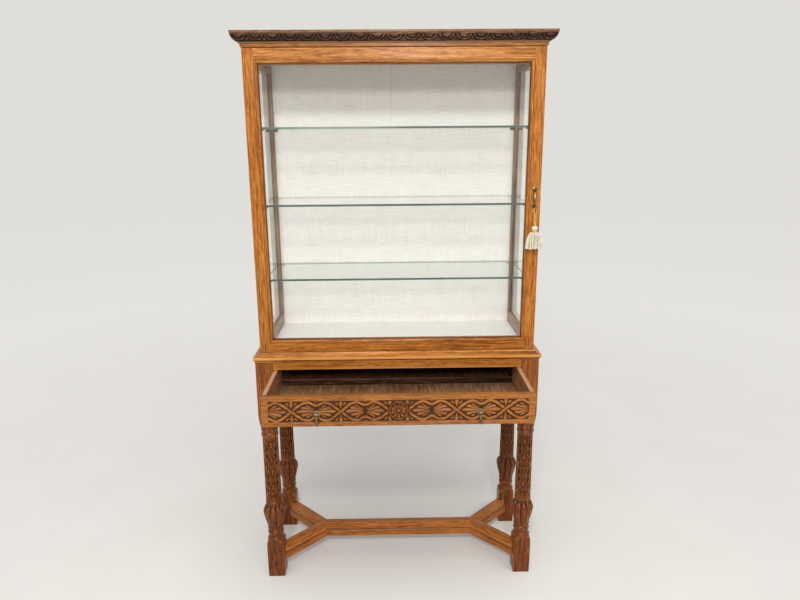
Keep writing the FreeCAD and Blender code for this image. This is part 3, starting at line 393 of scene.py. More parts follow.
def settle(name, mesh, body, material, nodes, smooth):
    """Put a finished mesh in the scene as a piece that rides on a body; smooth is its sharpest smooth angle."""
    piece = put(name, mesh)
    mesh.materials.clear()
    mesh.materials.append(material)
    mesh.polygons.foreach_set("material_index", [0] * len(mesh.polygons))
    mesh.shade_smooth()
    mesh.set_sharp_from_angle(angle=math.radians(smooth))
    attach(piece, body)
    if nodes:
        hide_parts(*nodes)
    return piece


def mesh_of(name, points, faces):
    """Mesh from points in millimetres."""
    mesh = bpy.data.meshes.new(name)
    mesh.from_pydata((np.reshape(points, (-1, 3)) * MM).tolist(), [], faces)
    mesh.validate()
    return mesh


def joined(name, meshes):
    """One mesh made of several."""
    work = bmesh.new()
    for mesh in meshes:
        work.from_mesh(mesh)
    whole = bpy.data.meshes.new(name)
    work.to_mesh(whole)
    work.free()
    return whole


def keep_values(mesh, **marks):
    """Store named numbers for each point of a mesh."""
    for name, values in marks.items():
        numbers = np.ravel(values).astype(np.float32)
        mesh.attributes.new(name, "FLOAT", "POINT").data.foreach_set("value", numbers)


def quads(rows, columns, ring=False, start=0):
    """Faces of a grid of points; a ring joins its last column to its first."""
    r = np.arange(rows - 1)[:, None] * columns
    c = np.arange(columns if ring else columns - 1)[None, :]
    after = (c + 1) % columns
    cells = np.stack([r + c, r + after, r + columns + after, r + columns + c], axis=-1)
    return (cells.reshape(-1, 4) + start).tolist()


def capped_ring(rows, columns, start=0):
    """Faces of a tube of points that is closed at both ends."""
    last = start + (rows - 1) * columns
    ends = [list(range(start, start + columns))[::-1], list(range(last, last + columns))]
    return quads(rows, columns, ring=True, start=start) + ends


def worn_normals(piece):
    """Keep flat faces flat beside their rounded edges."""
    weigh = piece.modifiers.new("flat_faces", "WEIGHTED_NORMAL")
    weigh.keep_sharp = True
    weigh.weight = 90


# Width of a worn edge, and the angles at which faces count as one face and as a sharp edge
EASED, FINE_EASED = 0.7, 0.4
FLAT_ANGLE, SHARP_ANGLE = math.radians(0.4), math.radians(40)


def eased_mesh(name, mesh, width=EASED, drop=None, marks=None):
    """Copy of a mesh with rounded outer edges; drop says which faces go, marks how much painted shade, raw oak with
    painted bounce light, and wear with painted highlights a face has.
    """
    work = bmesh.new()
    work.from_mesh(mesh)
    bmesh.ops.remove_doubles(work, verts=work.verts, dist=1e-6)
    bmesh.ops.dissolve_limit(work, angle_limit=FLAT_ANGLE, verts=work.verts, edges=work.edges)
    if drop:
        gone = [f for f in work.faces if drop(f.calc_center_median() / MM, f.normal)]
        bmesh.ops.delete(work, geom=gone, context="FACES")
    sharp = [e for e in work.edges if e.is_manifold and e.calc_length() > 4 * width * MM
             and e.calc_face_angle_signed(0.0) > SHARP_ANGLE]
    worn_and_lit = work.faces.layers.float.new("wear")
    if sharp:
        result = bmesh.ops.bevel(work, geom=sharp, offset=width * MM, offset_type="OFFSET", segments=2,
                                 profile=0.5, affect="EDGES", clamp_overlap=True, loop_slide=True)
        for face in result["faces"]:
            face[worn_and_lit] = 1.0
    work.normal_update()
    for kind, share in (marks or {}).items():
        mark = worn_and_lit if kind == "wear" else work.faces.layers.float.new(kind)
        for face in work.faces:
            face[mark] = max(face[mark], share(face.calc_center_median() / MM, face.normal))
    copy = bpy.data.meshes.new(name)
    work.to_mesh(copy)
    work.free()
    return copy


# Inner edges of the door's moulding, round the glass, and the moulding's width
SIGHT_HALF, SIGHT_LOW, SIGHT_HIGH, SIGHT_WIDE = 387.3, 841.0, 1656.0, 10.1
# Heights of the stretcher's quirk, of the waist moulding's nose and of the bead under the frieze rail
QUIRK_LOW, QUIRK_HIGH = 66.1, 71.0
NOSE_LOW, NOSE_HIGH = 781.8, 789.8
BEAD_HIGH = 752.0


def sight_painted_shade(inward):
    """Painted shade on the door's moulding beside the glass and in its quirk, by the distance from the glass."""
    if inward > SIGHT_WIDE:
        return 0.0
    return float(0.9 * (1.0 - step(0.5, 3.2, inward)) + 0.75 * step(8.0, 9.6, inward))


def inside(c, n):
    """1 on faces that look into the case."""
    return float(n.x * c.x < -100.0 or n.y < -0.5)


def under(c, n):
    """Painted shade on faces that look down."""
    return 0.6 if n.z < -0.1 else 0.0


def quirk(c, n):
    """Painted shade in the quirk of a stretcher's moulding."""
    return 0.75 if QUIRK_LOW < c.z < QUIRK_HIGH else 0.0


def top_edge(c, n):
    """Painted light on faces that look up, with their wear."""
    return 0.9 if n.z > 0.9 else 0.0


def nose_edge(c, n):
    """Painted highlight on the upright face of the waist moulding's nose."""
    return 1.6 if NOSE_LOW < c.z < NOSE_HIGH and abs(n.z) < 0.3 else 0.0


def rail_bead(c, n):
    """Painted highlight on the bead along the frieze rail's lower edge."""
    return 1.2 if c.z < BEAD_HIGH and n.y < -0.5 else 0.0


# Marks of a face by its centre and its normal: painted shade, raw oak with painted bounce light, and wear with painted
# highlights
# Painted shade beside the door's glass and under the waist moulding's nose, whose face has a painted highlight
STILE = {"grime": lambda c, n: sight_painted_shade(abs(c.x) - SIGHT_HALF)}
WAIST = {"grime": under, "wear": nose_edge}
# Raw oak inside the case, greyed and lightened as painted light bounced off the linen
CASE = {"bare": inside}
MARKS = {
    "door_left_stile": STILE,
    "door_right_stile": STILE,
    "door_bottom_rail": {"grime": lambda c, n: sight_painted_shade(SIGHT_LOW - c.z)},
    "door_top_rail": {"grime": lambda c, n: sight_painted_shade(c.z - SIGHT_HIGH)},
    # The frieze rail: painted shade on its slanted faces, a painted highlight on its bead
    "frieze_top_rail": {"grime": lambda c, n: 0.8 if 0.6 < abs(n.z) < 0.8 else 0.0, "wear": rail_bead},
    "waist_moulding_front": WAIST,
    "waist_moulding_returns": WAIST,
    # Painted shade on the strip under the cornice
    "case_top": {"grime": lambda c, n: 0.3},
    "rear_left_post": CASE,
    "rear_right_post": CASE,
    "case_side_rails": CASE,
    # The side beads: raw oak all over, with painted bounce light
    "side_glazing_beads": {"bare": lambda c, n: 1.0},
    "centre_stretcher": {"grime": quirk},
    "stretcher_arms": {"grime": quirk},
    # Painted shade on the drawer's back; painted light on the tops of its back and sides
    "drawer_back": {"grime": lambda c, n: 0.0 if n.z > 0.9 else 0.7, "wear": top_edge},
    "drawer_sides": {"wear": top_edge},
}


def ease(node, along, seed=0.0, width=EASED):
    """Wooden piece in place of its CAD node, with hand-worn edges and its marks of painted shade and painted
    highlights.
    """
    mesh = eased_mesh(node + "_wood", NODES[node].data, width, None, MARKS.get(node))
    slot = SLOT_OF[node]
    material = wood(OAK_OF.get(node, slot), along, False, seed)
    worn_normals(settle(node + "_wood", mesh, BODY_OF[node], material, (node,), 60))


def step(low, high, value):
    """Even step from 0 to 1 between two bounds."""
    t = np.clip((value - low) / (high - low), 0.0, 1.0)
    return t * t * (3.0 - 2.0 * t)


def rounded(distance, half):
    """Height across a strap with soft edges."""
    return np.sqrt(np.clip(1.0 - (np.abs(distance) / half) ** 4, 0.0, 1.0))


def fan(room, x, y, spread, cut):
    """Leaf of rounded fingers that spread from its root; room is the distance to its outer edge."""
    reach = np.hypot(x, y)
    off = np.mod(np.arctan2(x, y) / spread + 0.5, 1.0) * 2.0 - 1.0
    hollow = np.abs(off) ** 2.6 * step(1.0, 8.0, reach)
    return step(0.0, 1.4, room - cut * hollow) * (1.0 - 0.86 * hollow)


# Place of a strap's crest between a crossing at 0 and the middle of a cell at 1
CREST = 0.66


def strap_level(t, dip):
    """Share of the full height that a strap has at a place, with a dip in the middle of a cell."""
    t = np.abs(t)
    t = 1.0 - np.abs(1.0 - t)
    rise = np.sin(np.clip(t / CREST, 0.0, 1.0) * np.pi / 2.0) ** 1.12
    fall = dip + (1.0 - dip) * np.cos(np.clip((t - CREST) / (1.0 - CREST), 0.0, 1.0) * np.pi / 2.0) ** 2
    return np.where(t < CREST, rise, fall)


def strapwork(u, v, cell, half, strap, gap, dip, lining=0.0):
    """Crossing straps, lined inside or not, with leaves between them: 0 is the ground and 1 the top."""
    turns = u / cell
    place = turns - np.round(turns)
    t = 2.0 * np.abs(place)
    full = half - strap / 2.0 - 0.6
    level = full * strap_level(t, dip)
    near = 0.01
    slope = full * (strap_level(t + near, dip) - strap_level(t - near, dip)) / near / cell
    flat = np.sqrt(1.0 + slope * slope)
    sign = np.sign(place) * np.where(np.round(turns) % 2 == 0, 1.0, -1.0)
    over = (v - level * sign) / flat
    below = (v + level * sign) / flat
    clear = step(strap * 0.52, strap * 0.52 + gap * 0.6, np.abs(over))
    straps = np.maximum(rounded(over, strap / 2.0), rounded(below, strap / 2.0) * clear)
    outer = (np.abs(v) - level) / flat
    edge = half - np.abs(v)
    from_middle = (1.0 - t) * cell / 2.0
    from_crossing = place * cell
    beside_middle = (np.abs(place) - 0.5) * cell
    inner = -outer - strap / 2.0 - gap
    if lining:
        straps = np.maximum(straps, rounded(inner - lining / 2.0, lining / 2.0))
        inner = inner - lining - gap
    leaf = fan(np.minimum(inner, from_middle - 0.03 * cell), v, from_middle, math.radians(18), strap * 0.8)
    top_room = np.minimum(outer - strap / 2.0 - gap, edge - 0.4 * gap)
    palm_room = np.minimum(top_room, 0.98 * half - np.hypot(from_crossing, v))
    palm = fan(palm_room, from_crossing, np.abs(v) - 0.15 * half, math.radians(38), strap * 0.7)
    bud_room = np.minimum(top_room, 0.5 * half - np.hypot(beside_middle, edge))
    bud = fan(bud_room, beside_middle, edge + 0.04 * half, math.radians(50), strap * 0.3)
    return np.maximum.reduce([straps, leaf, np.where(t < CREST, palm, 0.0), np.where(t >= 0.5, bud, 0.0)])


def rosette(reach, angle, radius):
    """Round flower: a ring, ten petals and a boss."""
    ring = rounded(reach - 0.91 * radius, 0.085 * radius)
    room = np.minimum(0.80 * radius - reach, reach - 0.24 * radius)
    petals = fan(room, reach * np.sin(angle), reach * np.cos(angle), math.radians(36), 0.10 * radius)
    boss = np.sqrt(np.clip(1.0 - (reach / (0.23 * radius)) ** 2, 0.0, 1.0))
    return np.maximum.reduce([ring, petals, boss])


# Drawer front: its half width, its heights, its face, the depth of its carving and its rounded rim
DRAWER_HALF = 388.5
DRAWER_LOW, DRAWER_HIGH, DRAWER_MID = 657.5, 747.5, 702.5
DRAWER_FACE, DRAWER_RELIEF, DRAWER_EDGE = -283.15, 3.4, 1.1
# Carved field of the drawer, the part of it that has a fine mesh, its first crossing and its rosette
FIELD_HALF, FIELD_HIGH = 370.0, 32.5
FINE_HALF, FINE_LOW, FINE_HIGH = 371.5, 669.2, 735.8
FIRST_CROSSING = 24.75
ROSETTE_REACH, ROSETTE_RADIUS = 30.5, 28.5


def drawer_carving(x, z):
    """Height of the drawer's carving, 1 at the border and 0 at the ground."""
    v = z - DRAWER_MID
    drift = 0.6 * np.sin(x / 47.0)
    waver = 0.5 * np.sin(x / 31.0 + 0.7) + 0.35 * np.sin(x / 13.0 + v / 9.0)
    height = strapwork(np.abs(x) - FIRST_CROSSING + drift, v + waver, cell=139.5, half=FIELD_HIGH, strap=8.8,
                       gap=3.1, dip=0.66)
    reach = np.hypot(x, v)
    height = np.where(reach < ROSETTE_REACH, rosette(reach, np.arctan2(x, v), ROSETTE_RADIUS), height)
    field = step(0.0, 1.3, np.minimum(FIELD_HALF - np.abs(x), FIELD_HIGH - np.abs(v)))
    return 1.0 - field * (1.0 - height)


def carve_drawer():
    """Drawer front: the CAD board with its face carved as interlaced straps and leaves."""
    edge = np.array([0.0, 0.25, 0.6, 1.1, 2.0])
    x = np.concatenate([-DRAWER_HALF + edge, np.linspace(-FINE_HALF, FINE_HALF, 826), DRAWER_HALF - edge[::-1]])
    z = np.concatenate([DRAWER_LOW + edge, np.linspace(FINE_LOW, FINE_HIGH, 75), DRAWER_HIGH - edge[::-1]])
    across, up = np.meshgrid(x, z)
    height = drawer_carving(across, up)
    rim = np.minimum(DRAWER_HALF - np.abs(across), np.minimum(up - DRAWER_LOW, DRAWER_HIGH - up))
    inset = np.clip(DRAWER_EDGE - rim, 0.0, DRAWER_EDGE)
    round_off = DRAWER_EDGE - np.sqrt(np.clip(DRAWER_EDGE ** 2 - inset ** 2, 0.0, None))
    deep = DRAWER_FACE + DRAWER_RELIEF * (1.0 - height) + round_off
    near_face = DRAWER_FACE + 0.5
    board = eased_mesh("drawer_board", NODES["drawer_front"].data, EASED,
                       lambda c, n: n.y < -0.9 and c.y < near_face)
    for point in board.vertices:
        if point.co.y < near_face * MM:
            point.co.y = (DRAWER_FACE + DRAWER_EDGE) * MM
    front = mesh_of("drawer_face", np.stack([across, deep, up], axis=-1), quads(len(z), len(x)))
    # The carving's ground gets dirt and painted shade, its high spots and a little of the board are rubbed with
    # painted highlights; the rosette is darker overall
    middle = np.hypot(across, up - DRAWER_MID) < ROSETTE_REACH
    keep_values(front, relief=np.where(middle, 0.7 * height, height),
                rubbed=np.where(middle, 0.0, step(0.86, 1.0, height) * 0.45))
    number = len(board.vertices)
    keep_values(board, relief=np.ones(number), rubbed=np.full(number, 0.2))
    whole = joined("drawer_front_wood", [board, front])
    settle("drawer_front_wood", whole, "drawer", wood("drawer_oak", "x", True, 3.0),
           ("drawer_front",), 60)


def arc(start, middle, end, count):
    """Points on the arc through three points."""
    a, b, c = (np.array(p, dtype=float) for p in (start, middle, end))
    d = 2.0 * (a[0] * (b[1] - c[1]) + b[0] * (c[1] - a[1]) + c[0] * (a[1] - b[1]))
    sa, sb, sc = (p @ p for p in (a, b, c))
    centre = np.array([sa * (b[1] - c[1]) + sb * (c[1] - a[1]) + sc * (a[1] - b[1]),
                       sa * (c[0] - b[0]) + sb * (a[0] - c[0]) + sc * (b[0] - a[0])]) / d
    radius = np.hypot(*(a - centre))
    angles = [math.atan2(*(p - centre)[::-1]) for p in (a, b, c)]
    sweep = (angles[2] - angles[0]) % (2.0 * math.pi)
    if (angles[1] - angles[0]) % (2.0 * math.pi) > sweep:
        sweep -= 2.0 * math.pi
    turn = angles[0] + sweep * np.linspace(0.0, 1.0, count)
    return centre + radius * np.stack([np.cos(turn), np.sin(turn)], axis=-1), centre


# Places of the legs, and how far the carving of each side is turned
LEG_X, LEG_FRONT, LEG_REAR = 418.0, -38.15, 260.85
LEG_TURNS = {"left": 0.74, "right": -0.11}
LEG_SIDES, LEG_LOBES = 190, 10
LEG_TOP, COLUMN_TOP, COLUMN_RADIUS, COLUMN_CROSSING = 774.0, 511.0, 26.0, 363.0
COLUMN_RELIEF, LOBE_RELIEF, LOBE_CROWN, CROWN_TALL = 2.2, 6.0, 246.0, 21.0
# Half the width of a leg's blocks, and the heights where the lower one ends and the upper one starts
BLOCK_HALF, BLOCK_LOW, BLOCK_HIGH = 28.0, 134.5, 549.0
# Heights between which the lobes of the bulb and the carving of the column start and end
BULB_START, BULB_END = (185.0, 198.0), (262.0, 268.0)
COLUMN_START, COLUMN_END = (287.0, 290.0), (507.0, 510.0)
# Turned leg as (radius, height) points; a pair of points is an arc through the first to the second
LEG_STEPS = [
    (56.0, 0.0), (56.0, 90.0), (44.0, 118.0), (28.0, 134.0), ((28.3, 137.4), (26.2, 140.6)), (25.0, 141.0),
    ((21.6, 144.6), (20.5, 150.0)), ((26.2, 161.0), (21.5, 172.0)), (21.7, 175.6), (25.4, 176.2),
    ((26.3, 179.4), (25.4, 182.6)), (23.4, 183.2), (24.4, 184.4), ((31.85, 209.85), (37.5, 239.0)),
    ((34.1, 254.89), (24.5, 268.0)), ((27.4, 274.6), (24.5, 281.2)), (24.0, 281.6), (24.2, 285.0), (26.5, 286.2),
    (25.0, COLUMN_TOP), (24.5, 511.2), ((27.8, 520.5), (24.5, 530.0)), ((27.8, 539.5), (24.5, 549.0)),
    (28.0, 549.2), ((36.35, 580.05), (39.6, 618.0)), (56.0, 618.2), (56.0, LEG_TOP),
]


def leg_outline():
    """Radius of the turning at close heights."""
    points = [np.array([LEG_STEPS[0]])]
    last = LEG_STEPS[0]
    for item in LEG_STEPS[1:]:
        if isinstance(item[0], tuple):
            count = int(math.hypot(item[1][0] - last[0], item[1][1] - last[1]) / 1.3) + 6
            points.append(arc(last, item[0], item[1], count)[0][1:])
            last = item[1]
        else:
            count = int(item[1] - last[1]) + 1 if item[1] == COLUMN_TOP else 3
            run = np.linspace(0.0, 1.0, count)[1:, None]
            points.append(np.array(last) * (1.0 - run) + np.array(item) * run)
            last = item
    return np.concatenate(points)


def carve_leg(node, x, y, turn):
    """Turned leg with a gadrooned bulb and a carved column between square blocks."""
    outline = leg_outline()
    radius, height = outline[:, 0][:, None], outline[:, 1][:, None]
    angle = (np.arange(LEG_SIDES) / LEG_SIDES * 2.0 * np.pi)[None, :]
    swing = np.mod(angle * LEG_LOBES / (2.0 * np.pi), 1.0) * 2.0 - 1.0
    crown = np.clip((height - LOBE_CROWN) / CROWN_TALL, 0.0, 1.0)
    lobe = np.sqrt(np.clip(1.0 - swing ** 2 - crown ** 2, 0.0, 1.0))
    bulb = step(*BULB_START, height) * (1.0 - step(*BULB_END, height))
    fifth = np.pi / 2.5
    strip = np.mod(angle + turn, fifth) - fifth / 2.0
    waver = 0.3 * np.sin(height / 11.0)
    straps = strapwork(height - COLUMN_CROSSING, strip * COLUMN_RADIUS + waver, cell=98.0,
                       half=COLUMN_RADIUS * fifth / 2.0, strap=3.3, gap=1.35, dip=0.30, lining=2.0)
    column = step(*COLUMN_START, height) * (1.0 - step(*COLUMN_END, height))
    # Dirt and painted shade in the bulb's grooves and the column's ground; the straps' tops rubbed, with painted
    # highlights
    relief = 1.0 - column * (1.0 - straps) - 0.8 * bulb * (1.0 - lobe) ** 1.3
    rubbed = column * step(0.68, 1.0, straps) * 1.15
    turned = radius - COLUMN_RELIEF * column * (1.0 - straps) - LOBE_RELIEF * bulb * (1.0 - lobe)
    sharp = 44
    square = BLOCK_HALF / (np.abs(np.cos(angle)) ** sharp + np.abs(np.sin(angle)) ** sharp) ** (1.0 / sharp)
    blocks = (height < BLOCK_LOW) | (height > BLOCK_HIGH)
    reach = np.where(blocks, np.minimum(turned, square), turned * np.ones_like(angle))
    ends = (height < 0.01) | (height > LEG_TOP - 0.1)
    reach = np.where(ends, reach - 0.8, reach)
    points = np.stack([x + reach * np.cos(angle), y + reach * np.sin(angle), height * np.ones_like(reach)], axis=-1)
    mesh = mesh_of(node + "_turning", points, capped_ring(len(outline), LEG_SIDES))
    keep_values(mesh, relief=np.clip(relief, 0.0, 1.0), rubbed=rubbed)
    settle(node + "_turning", mesh, "cabinet", wood("dark_oak", "z", True, 0.0, BLOCK), (node,), 38)


CORNICE_LOW, CORNICE_LIP = 1713.0, 1734.0
OVOLO = ((7.5, CORNICE_LOW), (19.4, 1720.1), (24.5, CORNICE_LIP))
CORNICE_RELIEF, CORNICE_PROUD = 2.6, 0.25
CUP_PITCH, CUP_RADIUS, FLOWER_RADIUS = 48.0, 19.2, 13.0
LEAF_REACH, LEAF_HIGH = 24.6, 16.0


def cornice_carving(along, rise, whole):
    """Row of cups with a flower in each and leaves between: 0 is the ground and 1 the top."""
    place = np.mod(along / CUP_PITCH, 1.0) - 0.5
    x = place * CUP_PITCH
    centre = whole - 2.5
    reach = np.hypot(x, np.minimum(rise - centre, 0.0))
    cup = rounded(reach - CUP_RADIUS, 2.0)
    room = np.minimum(FLOWER_RADIUS - np.hypot(x, rise - centre), whole - 1.2 - rise)
    flower = fan(room, x, centre - rise + 1.0, math.radians(34), 2.0)
    beside = (np.abs(place) - 0.5) * CUP_PITCH
    spandrel = np.minimum(reach - LEAF_REACH, np.minimum(rise - 1.2, LEAF_HIGH - rise))
    leaf = fan(spandrel, beside, rise + 1.5, math.radians(40), 1.0)
    height = np.maximum.reduce([cup, flower, leaf])
    rim = step(0.0, 1.0, np.minimum(rise, whole - rise))
    return 1.0 - rim * (1.0 - height)


def is_ovolo(c, n):
    """Whether a face of the CAD cornice is the ovolo, which the carving replaces."""
    outward = max(abs(c.x) - CASE_HALF, DOOR_FRONT - c.y)
    return 8.0 < outward < 24.4 and CORNICE_LOW + 0.3 < c.z < CORNICE_LIP - 0.3 and n.z < -0.2


def carve_cornice():
    """Cornice front and returns: the CAD moulding with its ovolo carved."""
    line, centre = arc(*OVOLO, 27)
    steps = np.hypot(*np.diff(line, axis=0).T)
    rise = np.concatenate([[0.0], np.cumsum(steps)])
    normal = line - centre
    normal /= np.hypot(*normal.T)[:, None]
    if normal[len(line) // 2, 0] < 0:
        normal = -normal
    out, up = line[:, 0][:, None], line[:, 1][:, None]
    runs = {"cornice_front": ((0, 860),), "cornice_returns": ((-1, 330), (1, 330))}
    for node, sides in runs.items():
        core = eased_mesh(node + "_core", NODES[node].data, 0.6, is_ovolo)
        level = np.array([v.co.z for v in core.vertices]) / MM
        # The lip and the bead at the foot are rubbed, with painted highlights
        rubbed = np.where(level > CORNICE_LIP - 0.5, 1.15, np.where(level < CORNICE_LOW + 0.1, 1.7, 0.0))
        keep_values(core, relief=np.ones_like(level), rubbed=rubbed)
        shapes = [core]
        for side, count in sides:
            share = np.linspace(0.0, 1.0, count)[None, :]
            if side == 0:
                along = (2.0 * share - 1.0) * (CASE_HALF + out)
            else:
                start = DOOR_FRONT - out
                along = start + share * (STAND_BACK - start)
            shift = CUP_PITCH / 2.0 - (DOOR_FRONT if side else 0.0)
            height = cornice_carving(along + shift, rise[:, None] * np.ones_like(along), rise[-1])
            lift = CORNICE_PROUD - CORNICE_RELIEF * (1.0 - height)
            push = out + normal[:, 0][:, None] * lift
            level = up + normal[:, 1][:, None] * lift
            if side == 0:
                points = np.stack([along, DOOR_FRONT - push, level], axis=-1)
            else:
                points = np.stack([side * (CASE_HALF + push), along, level], axis=-1)
            faces = quads(len(rise), count)
            if side == -1:
                faces = [f[::-1] for f in faces]
            skin = mesh_of(node + "_skin", points, faces)
            # High spots of the carving are rubbed, with painted highlights
            keep_values(skin, relief=height, rubbed=step(0.8, 1.0, height) * 0.28)
            shapes.append(skin)
        settle(node + "_carved", joined(node + "_carved", shapes), "cabinet",
               wood("carved_oak", "x" if node == "cornice_front" else "y", True), (node,), 60)


# How far the linen is sunk under its CAD face, and how far its slack rises from there
SUNK, SLACK = 0.35, 0.3


def line_with_linen():
    """Linen glued over the back and the floor of the case, with the slack of cloth on boards."""
    cloth = linen("linen")
    spans = {"back_lining": (0, 2), "floor_lining": (0, 1)}
    for node, (a, b) in spans.items():
        low, high = (np.array(corner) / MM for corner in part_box(node))
        thin = 3 - a - b
        first = np.linspace(low[a], high[a], 132)
        second = np.linspace(low[b], high[b], 148 if b == 2 else 48)
        p, q = np.meshgrid(first, second)
        edge = np.minimum(np.minimum(p - low[a], high[a] - p), np.minimum(q - low[b], high[b] - q))
        ripple = np.sin(p / 53.0 + np.sin(q / 71.0)) * np.sin(q / 61.0 + 0.6 * np.sin(p / 83.0))
        lift = SLACK * (0.5 + 0.5 * ripple) * step(0.0, 25.0, edge)
        toward, face, back = (-1.0, low[thin], high[thin]) if thin == 1 else (1.0, high[thin], low[thin])
        sides = []
        for level in (face - toward * SUNK + toward * lift, np.full_like(p, back)):
            points = np.zeros(p.shape + (3,))
            points[..., a], points[..., b], points[..., thin] = p, q, level
            sides.append(points)
        rows, columns = p.shape
        front = quads(rows, columns)
        shell = rows * columns
        rear = [f[::-1] for f in quads(rows, columns, start=shell)]
        border = list(range(columns)) + [r * columns + columns - 1 for r in range(1, rows)]
        border += [(rows - 1) * columns + c for c in range(columns - 2, -1, -1)]
        border += [r * columns for r in range(rows - 2, 0, -1)]
        wall = [[i, border[n - 1], border[n - 1] + shell, i + shell] for n, i in enumerate(border)]
        mesh = mesh_of(node + "_cloth", np.concatenate(sides), front + rear + wall)
        piece = settle(node + "_cloth", mesh, "cabinet", cloth, (node,), 45)


THREAD_SIDES = 8


def tubes(paths, radii, twist=0.0):
    """Threads along lists of points, closed at both ends; with a twist each looks like two plies."""
    points, faces = [], []
    for path, thick in zip(paths, radii):
        ahead = np.gradient(path, axis=0)
        ahead /= np.linalg.norm(ahead, axis=1)[:, None]
        side = np.cross(ahead[0], (0.3, 0.9, 0.31))
        start = len(points)
        for n, (place, radius) in enumerate(zip(path, thick)):
            side = side - ahead[n] * (side @ ahead[n])
            side /= np.linalg.norm(side)
            other = np.cross(ahead[n], side)
            for k in range(THREAD_SIDES):
                turn = 2.0 * math.pi * k / THREAD_SIDES
                ply = radius * (1.0 + 0.2 * math.cos(2.0 * (turn - twist * n))) if twist else radius
                points.append(place + ply * (math.cos(turn) * side + math.sin(turn) * other))
        faces += capped_ring(len(path), THREAD_SIDES, start)
    return points, faces


# Route of the cord across and up from the key's bow: from the tassel to the top of the bow, and back on the other side
CORD_UP = ((-1.6, -69.5), (-1.6, -49.5), (-2.3, -37.0), (-2.2, -23.0), (-1.9, -12.0), (-4.3, -3.5), (-4.2, 3.4))
CORD_ROUTE = CORD_UP + tuple((-x, z) for x, z in reversed(CORD_UP))


def cord_line():
    """Points along the smooth spline of the key's cord, in metres."""
    curve = bpy.data.curves.new("cord_line", "CURVE")
    curve.dimensions = "3D"
    curve.resolution_u = 24
    spline = curve.splines.new("NURBS")
    spline.points.add(len(CORD_ROUTE) - 1)
    for point, (x, z) in zip(spline.points, CORD_ROUTE):
        point.co = ((KEY_X + x) * MM, BOW_Y * MM, (BAR_Z + z) * MM, 1.0)
    spline.order_u = 3
    spline.use_endpoint_u = True
    guide = put("cord_line", curve)
    bpy.context.view_layer.update()
    mesh = bpy.data.meshes.new_from_object(guide)
    points = np.array([tuple(v.co) for v in mesh.vertices])
    bpy.data.objects.remove(guide)
    bpy.data.curves.remove(curve)
    bpy.data.meshes.remove(mesh)
    return points


# Distance of a ply from the cord's middle, its radius and the length of one turn
PLY_REACH, PLY_RADIUS, PLY_TURN = 0.68, 0.72, 7.5


def hang_cord(tassel_pieces):
    """Three-ply silk cord over the key's bow, down to the tassel."""
    line = cord_line()
    if line[0][0] > line[-1][0]:
        line = line[::-1]
    path = line / MM
    ahead = np.gradient(path, axis=0)
    ahead /= np.linalg.norm(ahead, axis=1)[:, None]
    run = np.concatenate([[0.0], np.cumsum(np.linalg.norm(np.diff(path, axis=0), axis=1))])
    beside = np.cross(ahead, (0.0, 1.0, 0.0))
    strands = []
    for ply in range(3):
        turn = (2.0 * math.pi * (ply / 3.0 + run / PLY_TURN))[:, None]
        strands.append(path + PLY_REACH * (np.cos(turn) * beside + np.sin(turn) * np.array([0.0, 1.0, 0.0])))
    points, faces = tubes(strands, np.full((3, len(path)), PLY_RADIUS))
    mesh = mesh_of("key_cord_strands", points, faces)
    thread = silk("cord_silk", (0.50, 0.28, 0.045, 1), (0.86, 0.57, 0.15, 1), 900.0)
    piece = settle("key_cord_strands", mesh, "tassel", thread, ("key_cord",), 70)


def turned_threads(name, outline, count, groove, material):
    """Small turned form with fine ribs, up and down or round it, about the tassel's axis."""
    radius, height = np.array(outline).T
    angle = (np.arange(count) / count * 2.0 * np.pi)[None, :]
    reach = radius[:, None] + groove(angle, height[:, None])
    points = np.stack([KEY_X + reach * np.cos(angle), BOW_Y + reach * np.sin(angle),
                       height[:, None] * np.ones_like(reach)], axis=-1)
    mesh = mesh_of(name, points, capped_ring(len(radius), count))
    return settle(name, mesh, "tassel", material, (), 60)


# Heights of the tassel's head, neck and skirt, and how far its skirt reaches at its root, across and forward
HEAD_LOW, HEAD_TALL, NECK_LOW = 1183.0, 11.0, 1176.0
SKIRT_TOP, SKIRT_TALL = 1176.5, 50.5
SKIRT_ROOT, SKIRT_WIDE, SKIRT_DEEP = 6.4, 27.0, 17.0
# Layers of the skirt as shares of its reach with their numbers of threads, and the ends of loose threads
LAYERS = ((0.96, 42), (0.76, 28), (0.48, 16))
STRAYS = ((34.0, 1146.0), (30.0, 1152.0), (31.5, 1136.0))


